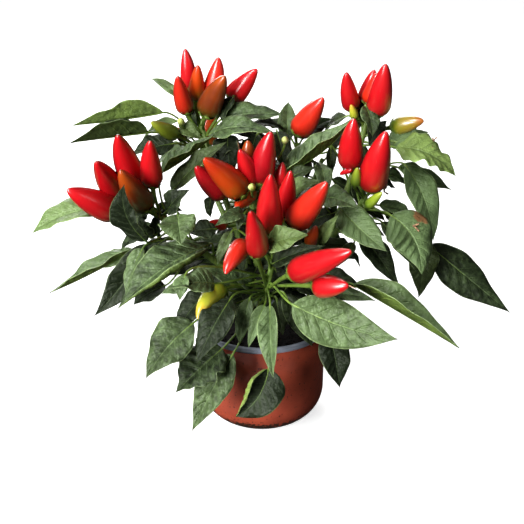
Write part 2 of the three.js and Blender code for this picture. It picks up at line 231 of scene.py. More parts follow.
punches.to_mesh(punch_mesh)
punches.free()
hole_punches = bpy.data.objects.new("hole_punches", punch_mesh)
for name, layer, plastic, slot in (("pot_outer_layer", outer_layer, terracotta, "pot_plastic"),
                                   ("pot_lining_and_lip", lining_layer, grey_plastic, "pot_lip")):
    piece = finish_piece(layer, name, [plastic])
    punching = piece.modifiers.new("drain_holes", "BOOLEAN")
    punching.operation = "DIFFERENCE"
    punching.object = hole_punches
    settle(piece)
    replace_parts(piece, "pot")
bpy.data.objects.remove(hole_punches)


# ---------------------------------------------------------------------------------------
# PEAT. Dark potting peat, sunk below the lip and mounded a little round the stem. Its top
# is crumbly, with loose crumbs and bits of bark lying on it.

soil_low, soil_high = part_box("soil")
peat_radius = (soil_high.x - soil_low.x) / 2
soil_top = soil_high.z - 2.5 * MM
peat_gap = 0.3 * MM
peat_shrink = 2 * MM
mound_height = 2.2 * MM
crumb_count = 260


def peat_finish():
    skin = Finish("potting_peat")
    grains = skin.noise(420, 6, 0.7)
    clods = skin.node("TexVoronoi", {"Vector": skin.place(), "Scale": 260}).outputs["Distance"]
    bark = skin.noise(170, 2)
    colour = skin.mix(skin.ramp(grains, 0.42, 0.74), paint(9, 7, 6), paint(34, 25, 18))
    colour = skin.mix(skin.ramp(bark, 0.7, 0.75), colour, paint(96, 72, 50))
    shine = skin.node("BsdfPrincipled", {
        "Base Color": colour,
        "Roughness": 0.92,
        "Specular IOR Level": 0.08,
        "Normal": skin.bump(skin.sum("MULTIPLY_ADD", clods, 0.6, grains), 1.2 * MM, 0.9),
    })
    return skin.coat_on(shine.outputs[0])


peat_skin = peat_finish()
peat_outline = [(0, pot_wall + peat_gap)]
peat_outline += arc(base_flat_radius, corner_radius, corner_radius - pot_wall - peat_gap, -90, 0, 8)
peat_outline.append((peat_radius, soil_top - 1.5 * MM))
for i in range(31):
    inward = i / 30
    mound = mound_height * max(0, (inward - 0.5) * 2)
    peat_outline.append(((peat_radius - peat_shrink) * (1 - inward), soil_top - 0.4 * MM + mound))
peat_mesh = turn_on_axis(peat_outline, 120)
for vert in peat_mesh.verts:
    if vert.co.z > soil_top - 1 * MM:
        clods, grains = noise.noise(vert.co * 160), noise.noise(vert.co * 520)
        vert.co.z += 0.9 * MM * clods + 0.6 * MM * grains
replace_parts(finish_piece(peat_mesh, "potting_peat", [peat_skin]), "soil")

# The noise that roughens crumbs and torn skin starts from the clock unless it has a seed.
noise.seed_set(4)
scatter = random.Random(4)
crumbs = bmesh.new()
for i in range(crumb_count):
    away = math.sqrt(scatter.uniform(0.03, 1)) * (peat_radius - 3 * MM)
    size = scatter.uniform(0.5, 1.8) * MM
    spot = Vector((away, 0, soil_top + 0.5 * size + 1.2 * MM * (1 - away / peat_radius)))
    lie = Matrix.Rotation(scatter.uniform(0, 2 * math.pi), 4, "Z") @ Matrix.Translation(spot)
    lie = lie @ Matrix.Rotation(scatter.uniform(0, 3), 4, "Z")
    lie = lie @ Matrix.Rotation(scatter.uniform(-0.6, 0.6), 4, "X")
    shape = Matrix.Diagonal((1, scatter.uniform(0.3, 0.9), scatter.uniform(0.35, 0.7), 1))
    crumb = bmesh.ops.create_icosphere(crumbs, subdivisions=1, radius=size, matrix=lie @ shape)
    for vert in crumb["verts"]:
        vert.co += 0.25 * size * noise.noise_vector(vert.co * 900)
finish_piece(crumbs, "loose_peat_crumbs", [peat_skin], smooth=False)


# ---------------------------------------------------------------------------------------
# STEM. One short trunk that forks low down into ten branches, all grown as one piece. Its
# skin is ridged and green, turning brown and corky towards the foot.

# A branch thickens at its joints: how many lie along it, and by how many millimetres.
joints_along = 3.3
joint_swell = 0.35

# Each branch: the points it grows through, and its radius at its foot and at its end, in
# millimetres.
branch_rows = {
    "trunk": ([(0, 0, 46), (0, 0, 74.5), (0, -1, 92), (1, -3, 112)], 5.4, 4.4),
    "left": ([(1, -2, 106), (-16, -12, 128), (-40, -27, 152), (-64, -35, 176), (-80, -38, 193)], 3.4, 2.2),
    "topleft": ([(1, -3, 110), (-12, 4, 136), (-24, 13, 170), (-40, 29, 212), (-50, 38, 244)], 3.2, 2.2),
    "centre": ([(1, -3, 112), (-4, -4, 138), (-8, -6, 166), (-6, -12, 200)], 2.8, 2.0),
    "midright": ([(1, -3, 110), (12, 8, 142), (20, 18, 176), (27, 28, 214), (29, 30, 232)], 2.8, 2.0),
    "topright": ([(1, -3, 108), (28, 2, 130), (54, 6, 158), (74, 14, 212), (83, 18, 252)], 3.4, 2.2),
    "right": ([(46, 5, 148), (60, -4, 166), (72, -11, 182), (81, -14, 198)], 2.8, 2.2),
    "front": ([(1, -3, 104), (2, -26, 116), (3, -48, 132), (6, -58, 150), (8, -58, 162)], 3.0, 2.2),
    "lowright": ([(1, -3, 106), (18, -14, 116), (38, -27, 126), (56, -36, 136)], 2.8, 2.0),
    "backleft": ([(1, -3, 108), (-14, 22, 134), (-36, 50, 170), (-54, 72, 204)], 3.0, 2.0),
    "backright": ([(1, -3, 106), (16, 26, 134), (36, 54, 172), (54, 78, 208)], 3.0, 2.0),
}


def place_of(point):
    """A point given in millimetres, in metres."""
    return Vector(point) * MM


class Midline:
    """The line down the middle of a branch, stalk or leaf, measured along its length."""

    def __init__(self, points):
        self.points = points
        self.run = [0.0]
        for here, there in zip(points, points[1:]):
            self.run.append(self.run[-1] + (there - here).length)

    def point(self, part):
        goal = part * self.run[-1]
        i = next((k for k in range(1, len(self.run)) if self.run[k] >= goal), len(self.run) - 1)
        share = (goal - self.run[i - 1]) / (self.run[i] - self.run[i - 1])
        return self.points[i - 1].lerp(self.points[i], share)

    def direction(self, part):
        return (self.point(min(1, part + 0.02)) - self.point(max(0, part - 0.02))).normalized()


def growing_line(nodes):
    """The smooth curve that a branch follows through its nodes."""
    knots = [place_of(node) for node in nodes]
    knots = [2 * knots[0] - knots[1], *knots, 2 * knots[-1] - knots[-2]]
    points = []
    for p0, p1, p2, p3 in zip(knots, knots[1:], knots[2:], knots[3:]):
        gap0, gap1, gap2 = (math.sqrt(step.length) for step in (p1 - p0, p2 - p1, p3 - p2))
        leave = ((p1 - p0) / gap0 - (p2 - p0) / (gap0 + gap1)) * gap1 + p2 - p1
        arrive = ((p3 - p2) / gap2 - (p3 - p1) / (gap1 + gap2)) * gap1 + p2 - p1
        points += geometry.interpolate_bezier(p1, p1 + leave / 3, p2 - arrive / 3, p2, 25)[:-1]
    return Midline(points + [knots[-2]])


def frames_along(points, radii):
    """Where and how a unit circle sits at each point of a path, turned along it without twist."""
    frames = []
    normal = (points[1] - points[0]).normalized().orthogonal()
    for i, point in enumerate(points):
        heading = (points[min(i + 1, len(points) - 1)] - points[max(i - 1, 0)]).normalized()
        normal = (normal - heading * normal.dot(heading)).normalized()
        turned = Matrix((normal, heading.cross(normal), heading)).transposed().to_4x4()
        frames.append(Matrix.Translation(point) @ turned @ Matrix.Scale(max(radii[i], 0.02 * MM), 4))
    return frames


def sweep(bm, points, radii, sides):
    """Extrudes a round section along a path, closed at both ends, and returns its rings."""
    frames = frames_along(points, radii)
    ring = bmesh.ops.create_circle(bm, cap_ends=True, segments=sides, radius=1, matrix=frames[0])["verts"]
    cap = ring[0].link_faces[0]
    if cap.normal.dot(points[1] - points[0]) > 0:
        cap.normal_flip()
    rings = [ring]
    for before, after in zip(frames, frames[1:]):
        grown = bmesh.ops.extrude_face_region(bm, geom=[cap])["geom"]
        cap = next(part for part in grown if isinstance(part, bmesh.types.BMFace))
        ring = list(cap.verts)
        bmesh.ops.transform(bm, matrix=after @ before.inverted(), verts=ring)
        rings.append(ring)
    return rings


def stem_finish():
    skin = Finish("green_stem_skin")
    height = skin.node("SeparateXYZ", {0: skin.place()}).outputs["Z"]
    stretched = skin.node("Mapping", {"Vector": skin.place(), "Scale": (1, 1, 0.12)}).outputs[0]
    lines = skin.noise(700, 3, 0.6, stretched)
    corky = skin.sum("ADD", height, skin.ramp(lines, 0.2, 0.8, -12 * MM, 12 * MM))
    colour = skin.mix(skin.ramp(lines, 0.35, 0.7), paint(92, 122, 46), paint(128, 152, 72))
    colour = skin.mix(skin.ramp(corky, 84 * MM, 112 * MM), paint(104, 82, 54), colour)
    shine = skin.node("BsdfPrincipled", {
        "Base Color": colour,
        "Roughness": 0.5,
        "Normal": skin.bump(lines, 0.3 * MM, 0.7),
    })
    return skin.coat_on(shine.outputs[0])


branches = {name: growing_line(row[0]) for name, row in branch_rows.items()}
stem_mesh = bmesh.new()
for name, (nodes, foot, end) in branch_rows.items():
    steps = [i / 28 for i in range(29)]
    swells = [joint_swell * math.exp(-((t * joints_along) % 1) * 9) for t in steps]
    thickness = [(foot + (end - foot) * t + swell) * MM for t, swell in zip(steps, swells)]
    sweep(stem_mesh, [branches[name].point(t) for t in steps], thickness, 14)
stem = finish_piece(stem_mesh, "forked_stem", [stem_finish()])
growing_together = stem.modifiers.new("grown_together", "REMESH")
growing_together.mode = "VOXEL"
growing_together.voxel_size = 0.8 * MM
easing = stem.modifiers.new("eased_forks", "SMOOTH")
easing.factor = 0.5
easing.iterations = 3
settle(stem)
for face in stem.data.polygons:
    face.use_smooth = True
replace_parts(stem, "stem")


# ---------------------------------------------------------------------------------------
# LEAVES. Oval pointed blades, dark and waxy above and olive below, quilted between the side
# veins. Each is one soft sheet on a thin stalk that runs on beneath it as its midrib.

sunward = Vector((-0.2, -1, 0)).normalized()
widest_at = 0.4
vein_pairs = 8
rolls_over = 140
blade_thickness = 0.35 * MM


def leaf_finish(name, dark, light, young, vein, edge, ridge, gloss):
    """Leaf skin. Veins follow each blade's own along and across. Each blade's tone sets where its colour
    lies between the dark and light paints. It is partly the leaf's own colour and partly painted light:
    darker for blades that stand in shade, lighter for blades that catch a sheen.
    """
    skin = Finish(name)
    along, across = skin.value("along"), skin.value("across")
    out = skin.sum("ABSOLUTE", across)
    wobble = skin.noise(90, 2)
    phase = skin.sum("MULTIPLY_ADD", out, -0.2, along)
    phase = skin.sum("MULTIPLY_ADD", wobble, 0.05, phase)
    from_vein = skin.sum("PINGPONG", skin.sum("MULTIPLY", phase, vein_pairs), 0.5)
    veins = skin.sum("MULTIPLY", skin.ramp(from_vein, 0.01, 0.1, 1, 0), skin.ramp(out, 0.5, 0.98, 1, 0.1))
    midrib = skin.ramp(out, 0.02, 0.06, 1, 0)
    blisters_and_sheen = skin.noise(260, 3, 0.55)
    patches = skin.noise(75, 4, 0.6)
    # Tone and random patches set how light the blade is painted. The tone also carries painted shade and
    # sheen.
    shade = skin.sum("ADD", skin.value("tone_and_light"), skin.ramp(patches, 0.25, 0.75, -0.24, 0.14))
    # The blister tops are painted lighter: a painted sheen, as the waxy bumps catch the light.
    shade = skin.sum("ADD", shade, skin.ramp(blisters_and_sheen, 0.3, 0.7, -0.16, 0.12))
    shade = skin.ramp(shade, 0, 1)
    colour = skin.mix(shade, dark, light)
    fresh = skin.value("fresh")
    colour = skin.mix(skin.sum("MULTIPLY", fresh, fresh), colour, young)
    pale = skin.sum("MULTIPLY_ADD", shade, 0.7, 0.25)
    colour = skin.mix(skin.sum("MULTIPLY", skin.sum("MULTIPLY", veins, pale), 0.2), colour, vein)
    colour = skin.mix(skin.sum("MULTIPLY", skin.sum("MULTIPLY", midrib, pale), 0.6), colour, vein)
    # A thin pale rim along each blade's edge, stronger on lighter blades: a painted highlight where light
    # catches the blade's edge.
    colour = skin.mix(skin.sum("MULTIPLY", skin.ramp(out, 0.94, 0.99), pale), colour, edge)
    brown = skin.ramp(skin.sum("ADD", skin.value("dry"), skin.noise(160, 3)), 1.0, 1.15)
    colour = skin.mix(brown, colour, paint(134, 96, 62))
    hollows = skin.sum("MULTIPLY_ADD", veins, -0.5 * ridge, skin.sum("MULTIPLY", blisters_and_sheen, 2.2))
    hollows = skin.sum("MULTIPLY_ADD", midrib, -0.8 * ridge, hollows)
    matt = skin.ramp(blisters_and_sheen, 0.3, 0.7, 0, 0.1)
    waxy = skin.ramp(shade, 0, 0.7, gloss + 0.16, gloss)
    shine = skin.node("BsdfPrincipled", {
        "Base Color": colour,
        "Roughness": skin.sum("ADD", matt, waxy),
        "Specular IOR Level": 0.46,
        "Specular Tint": paint(222, 232, 212),
        "Normal": skin.bump(hollows, 0.9 * MM, 0.8),
    })
    glow = skin.node("BsdfTranslucent", {"Color": skin.mix(0.6, colour, young)})
    through = skin.node("MixShader", {0: 0.06, 1: shine.outputs[0], 2: glow.outputs[0]})
    return skin.coat_on(through.outputs[0])


def stalk_finish():
    skin = Finish("green_stalk_skin")
    streaks = skin.noise(260, 3, 0.6)
    colour = skin.mix(skin.ramp(streaks, 0.3, 0.7), paint(84, 114, 38), paint(124, 150, 62))
    shine = skin.node("BsdfPrincipled", {
        "Base Color": colour,
        "Roughness": 0.42,
        "Normal": skin.bump(streaks, 0.25 * MM, 0.6),
    })
    return skin.coat_on(shine.outputs[0])


# The dark and light paints of each skin hold the leaf's colour together with painted light: the dark end is
# painted shade and the light end a painted sheen.
leaf_upper = leaf_finish("leaf_upper_side", paint(8, 18, 6), paint(102, 125, 80), paint(156, 184, 92),
                         paint(134, 160, 102), paint(168, 192, 130), 0.9, 0.34)
leaf_under = leaf_finish("leaf_underside", paint(34, 50, 12), paint(110, 134, 60), paint(166, 192, 92),
                         paint(130, 156, 74), paint(168, 192, 130), -0.9, 0.5)
stalk_skin = stalk_finish()


def stalk_line(branch, part, end, arrival):
    """A stalk's curve, from its branch, leaning forward, to where its leaf or berry begins."""
    start = branches[branch].point(part)
    reach = (end - start).length / 3
    leaving = (0.25 * branches[branch].direction(part) + (end - start).normalized()).normalized()
    return geometry.interpolate_bezier(start, start + leaving * reach, end - 0.6 * arrival * reach, end, 13)


def rolled_section(fold, cup, curl, steps):
    """One half of a blade's section, from midrib to edge, as steps out and up for a width of 1."""
    offsets = [(0.0, 0.0)]
    for i in range(steps):
        out = (i + 0.5) / steps
        lift = math.radians(fold + cup * out + curl * max(0, out - 0.5) * 2)
        offsets.append((offsets[-1][0] + math.cos(lift) / steps, offsets[-1][1] + math.sin(lift) / steps))
    return offsets


def grow_leaf(bm, branch, part, base, tip, width, arch=0.12, roll=0, fold=(18, 18), cup=0, curl=(0, 0),
              wave=0.09, bend=0, twist=0, jag=0, tone_and_light=0.5, fresh=0.1, dry=None, rows=34, columns=14):
    """Adds one leaf with its stalk. Fold, cup and curl, in degrees, lift each half of the blade."""
    nature = random.Random(f"{branch} {part}")
    roll += nature.uniform(-4, 4)
    twist += nature.uniform(-10, 10)
    bend += nature.uniform(-0.015, 0.015)
    cup += nature.uniform(-18, 4)
    base, tip = place_of(base), place_of(tip)
    length = (tip - base).length
    along = (tip - base).normalized()
    outward = Vector((base.x + tip.x, base.y + tip.y, 0)).normalized()
    facing = Vector((0, 0, 1)) + 0.4 * outward + 0.9 * sunward
    facing = (facing - along * facing.dot(along)).normalized()
    middle = base.lerp(tip, 0.5) + 2 * length * (arch * facing + bend * along.cross(facing))
    rising, falling = base.lerp(middle, 2 / 3), tip.lerp(middle, 2 / 3)
    midrib = Midline(geometry.interpolate_bezier(base, rising, falling, tip, 40))
    layers = {key: bm.verts.layers.float.get(key) or bm.verts.layers.float.new(key)
              for key in ("along", "across", "tone_and_light", "fresh", "dry")}
    stations = []
    for i in range(rows + 1):
        u = i / rows
        heading = midrib.direction(u)
        normal = (facing - heading * facing.dot(heading)).normalized()
        normal = Matrix.Rotation(math.radians(roll + twist * (u - 0.3)), 3, heading) @ normal
        half = (u / widest_at) ** 0.72 * (max(0, 1 - u) / (1 - widest_at)) ** 1.3
        stations.append((midrib.point(u), heading.cross(normal), normal, half * width * MM / 2))
    sections = [rolled_section(fold[k], cup, curl[k], columns // 2) for k in (0, 1)]
    swing = [nature.uniform(0, 1), nature.uniform(0, 1)]
    ripples = nature.uniform(1.2, 2.0)
    grid = bmesh.ops.create_grid(bm, x_segments=rows, y_segments=columns, size=0.5)["verts"]
    for vert in grid:
        u, v = vert.co.x + 0.5, 2 * vert.co.y
        out = abs(v)
        k = 0 if v > 0 else 1
        centre, side, normal, half = stations[round(u * rows)]
        across, lift = sections[k][round(out * columns / 2)]
        ripple = wave * out ** 2 * math.sin(2 * math.pi * (ripples * u + swing[k]))
        ripple += 0.4 * wave * out ** 2 * math.sin(2 * math.pi * (3.7 * u + swing[1 - k]))
        quilt = 0.15 * math.sin(math.pi * (u - 0.2 * out) * vein_pairs) ** 2 * 4 * out * (1 - out)
        nick = 1 + jag * out ** 3 * math.sin(2 * math.pi * (5.3 * u + 3 * swing[k]))
        reach = (1 if v >= 0 else -1) * across * half * nick
        raised = half * (lift + quilt) + ripple * min(half * 2.2, width * MM)
        vert.co = centre + side * reach + normal * raised
        vert[layers["along"]] = u
        vert[layers["across"]] = v
        vert[layers["tone_and_light"]] = tone_and_light
        # Where an edge rolls right over, its outer half is painted young green: a painted highlight for the
        # light on the turned-over strip.
        vert[layers["fresh"]] = fresh + (0.6 if curl[k] > rolls_over and out > 0.5 else 0)
        vert[layers["dry"]] = max(0, 1 - 4 * math.hypot(u - dry[0], 0.4 * (v - dry[1]))) if dry else 0
    bmesh.ops.remove_doubles(bm, verts=grid, dist=0.03 * MM)
    faces = list(dict.fromkeys(face for vert in grid if vert.is_valid for face in vert.link_faces))
    if sum(face.normal.dot(facing) for face in faces) < 0:
        bmesh.ops.reverse_faces(bm, faces=faces)
    shell = bmesh.ops.solidify(bm, geom=faces, thickness=blade_thickness)["geom"]
    for grown in shell:
        if isinstance(grown, bmesh.types.BMFace):
            grown.material_index = 1

    stalk = stalk_line(branch, part, base, (midrib.direction(0) + along).normalized())
    ribs = [i / 12 for i in range(1, 12)]
    points = stalk + [stations[round(t * rows)][0] - stations[round(t * rows)][2] * 0.45 * MM for t in ribs]
    radii = [(0.82 + 0.9 * math.exp(-12 * i / len(stalk))) * MM for i in range(len(stalk))]
    radii += [(0.2 + 0.5 * (1 - t)) * MM for t in ribs]
    for ring in sweep(bm, points, radii, 8):
        for vert in ring:
            for face in vert.link_faces:
                face.material_index = 2


# Each leaf: its name, its branch and how far along it grows, where its blade begins and ends,
# its width, and where its habit differs from the usual. Millimetres. A habit's tone is partly the
# leaf's own colour and partly painted light: low for leaves that stand in shade, high for leaves
# whose faces catch a sheen.
leaf_rows = [
    ("left_broad", "left", 0.78, (-86, -35, 166), (-129, -55, 114.5), 27,
     dict(arch=0.0, bend=-0.04, roll=-8, fold=(40, 5), tone_and_light=0.0, wave=0.05)),
    ("left_folded", "left", 0.60, (-43, -45, 168), (-105, -80, 132), 38,
     dict(arch=0.12, fold=(8, 14), curl=(0, 140), tone_and_light=0.5, wave=0.05)),
    ("left_slender", "left", 0.70, (-102, -20, 157), (-171, -25, 121.5), 22,
     dict(arch=-0.01, bend=-0.005, roll=17, fold=(35, 66), tone_and_light=0.7, fresh=0.1)),
    ("left_outermost", "left", 0.96, (-119, -25, 193), (-179, -25, 171.5), 28.5,
     dict(arch=0.115, bend=0.01, fold=(15, 38), tone_and_light=0.8, fresh=0.4)),
    ("left_upright", "left", 0.84, (-84, -62, 177.5), (-93, -85, 226), 25.5,
     dict(arch=0.05, bend=-0.11, tone_and_light=-0.4)),
    ("left_heart", "left", 0.66, (-61, -58, 197), (-57, -76, 180), 28,
     dict(arch=0.05, fold=(34, 14), tone_and_light=0.55, fresh=0.25)),
    ("left_reaching", "left", 0.90, (-76, -20, 219), (-37, 0, 244), 23,
     dict(arch=-0.06, roll=-12, fold=(70, 35), tone_and_light=0.6)),
    ("topleft_upper", "topleft", 0.89, (-80, 32, 256), (-150, 15, 249), 28,
     dict(arch=-0.03, roll=40, fold=(50, 70), tone_and_light=0.6, wave=0.05)),
    ("topleft_lower", "topleft", 0.86, (-91, 20, 242), (-148, -5, 239), 32,
     dict(arch=0, roll=30, fold=(45, 70), tone_and_light=0.1, wave=0.05)),
    ("topleft_inner", "topleft", 0.84, (-43, 20, 240), (12, 0, 244), 21, dict(arch=0.14, tone_and_light=0.6)),
    ("middle_back", "midright", 0.92, (34, 40, 233), (62, 60, 246), 15, dict(tone_and_light=0.2)),
    ("centre_diagonal", "centre", 0.96, (17, -5, 215), (70, -2, 258), 32,
     dict(arch=-0.12, bend=0.04, roll=-17, fold=(74, 35), tone_and_light=0.65, fresh=0.1, wave=0.05)),
    ("right_triangle", "right", 0.45, (46, -16, 198), (72, -40, 196), 22, dict(tone_and_light=0.55)),
    ("right_broad", "right", 0.72, (60, -25, 192), (92, -60, 169), 27,
     dict(arch=-0.04, fold=(5, 28), tone_and_light=1.05, wave=0.05)),
    ("right_weathered", "right", 0.80, (100, -20, 185), (122, -45, 145), 43,
     dict(arch=0.06, bend=-0.13, roll=14, fold=(32, -10), cup=-10, tone_and_light=1.0, fresh=0.1, dry=(0.28, -0.85))),
    ("right_under", "right", 0.60, (124, -5, 161), (127, -20, 115), 27,
     dict(arch=0.04, bend=-0.07, tone_and_light=0.15, fresh=0.3)),
    ("right_outermost", "right", 0.90, (138, 5, 151.5), (207, -10, 97), 34,
     dict(arch=-0.01, bend=-0.005, roll=10, fold=(-5, 0), tone_and_light=0.25, wave=0.05)),
    ("topright_hanging", "topright", 0.72, (116, 15, 216), (140, 0, 156.5), 27,
     dict(arch=0.06, bend=-0.06, roll=16, fold=(25, 0), tone_and_light=1.3, fresh=0.1, wave=0.08)),
    ("topright_edge_on", "topright", 0.78, (111, 22, 213), (158, 25, 193), 18, dict(arch=0.04, tone_and_light=0.9)),
    ("topright_bright", "topright", 0.88, (105, 5, 233), (152, -5, 212), 33,
     dict(arch=0.15, bend=-0.02, fold=(20, 5), tone_and_light=0.95, fresh=0.75, jag=0.12)),
    ("lowright_long", "lowright", 0.97, (70, -45, 137), (148, -75, 98), 34,
     dict(arch=0.01, roll=-12, fold=(76, 40), tone_and_light=0.85, fresh=0.2, wave=0.05)),
    ("front_right_broad", "front", 0.78, (22, -76, 134), (96, -102, 118.5), 36,
     dict(arch=-0.12, bend=0.01, roll=18, fold=(0, 8), tone_and_light=0.68, fresh=0.2, wave=0.04)),
    ("pot_right", "lowright", 0.60, (52, -50, 101), (61, -62, 56), 25, dict(arch=0.08, tone_and_light=-0.1)),
    ("front_centre", "front", 0.70, (6, -75, 133), (8, -100, 86), 19,
     dict(arch=0.06, fold=(20, 62), tone_and_light=0.75)),
    ("front_left_broad", "front", 0.64, (-22, -80, 141), (-46, -105, 101), 25, dict(tone_and_light=0.05)),
    ("lowleft_broad", "front", 0.54, (-50, -80, 121), (-84, -100, 86), 33,
     dict(arch=0.02, bend=0.06, fold=(20, 20), tone_and_light=0.4, fresh=0.15, wave=0.1)),
    ("lowleft_curled", "front", 0.85, (-34, -78, 151), (-67, -92, 153), 20,
     dict(arch=0.14, twist=55, tone_and_light=0.45, fresh=0.2)),
    ("centre_bright", "front", 0.90, (4, -76, 179), (32, -90, 192), 20, dict(tone_and_light=0.45, fresh=0.45)),
    ("pot_left_bright", "front", 0.30, (-22, -70, 90), (-54, -85, 31), 27,
     dict(arch=0.02, bend=0.02, tone_and_light=0.5, fresh=0.2)),
    ("pot_left_dark", "front", 0.36, (-30, -66, 93), (-65, -84, 65), 38,
     dict(arch=0.03, tone_and_light=0.3, jag=0.12)),
    ("pot_front", "front", 0.24, (5, -78, 82), (-20, -86, 45), 34,
     dict(arch=0.05, bend=-0.14, fold=(30, 0), curl=(150, 0), tone_and_light=0.0)),
    ("back_left_high", "backleft", 0.90, (-68, 88, 212), (-100, 118, 190), 24, {}),
    ("back_left_low", "backleft", 0.70, (-22, 78, 166), (-36, 112, 128), 26, {}),
    ("back_middle", "backright", 0.70, (22, 84, 176), (4, 122, 144), 26, {}),
    ("back_right_high", "backright", 0.95, (70, 92, 214), (106, 112, 194), 24, {}),
    ("back_right_low", "backright", 0.60, (62, 66, 158), (98, 92, 122), 26, {}),
]
for name, branch, part, base, tip, width, habit in leaf_rows:
    leaf_mesh = bmesh.new()
    grow_leaf(leaf_mesh, branch, part, base, tip, width, **habit)
    leaf = finish_piece(leaf_mesh, "leaf_" + name + "_blade", [leaf_upper, leaf_under, stalk_skin])
    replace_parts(leaf, "leaf_" + name)
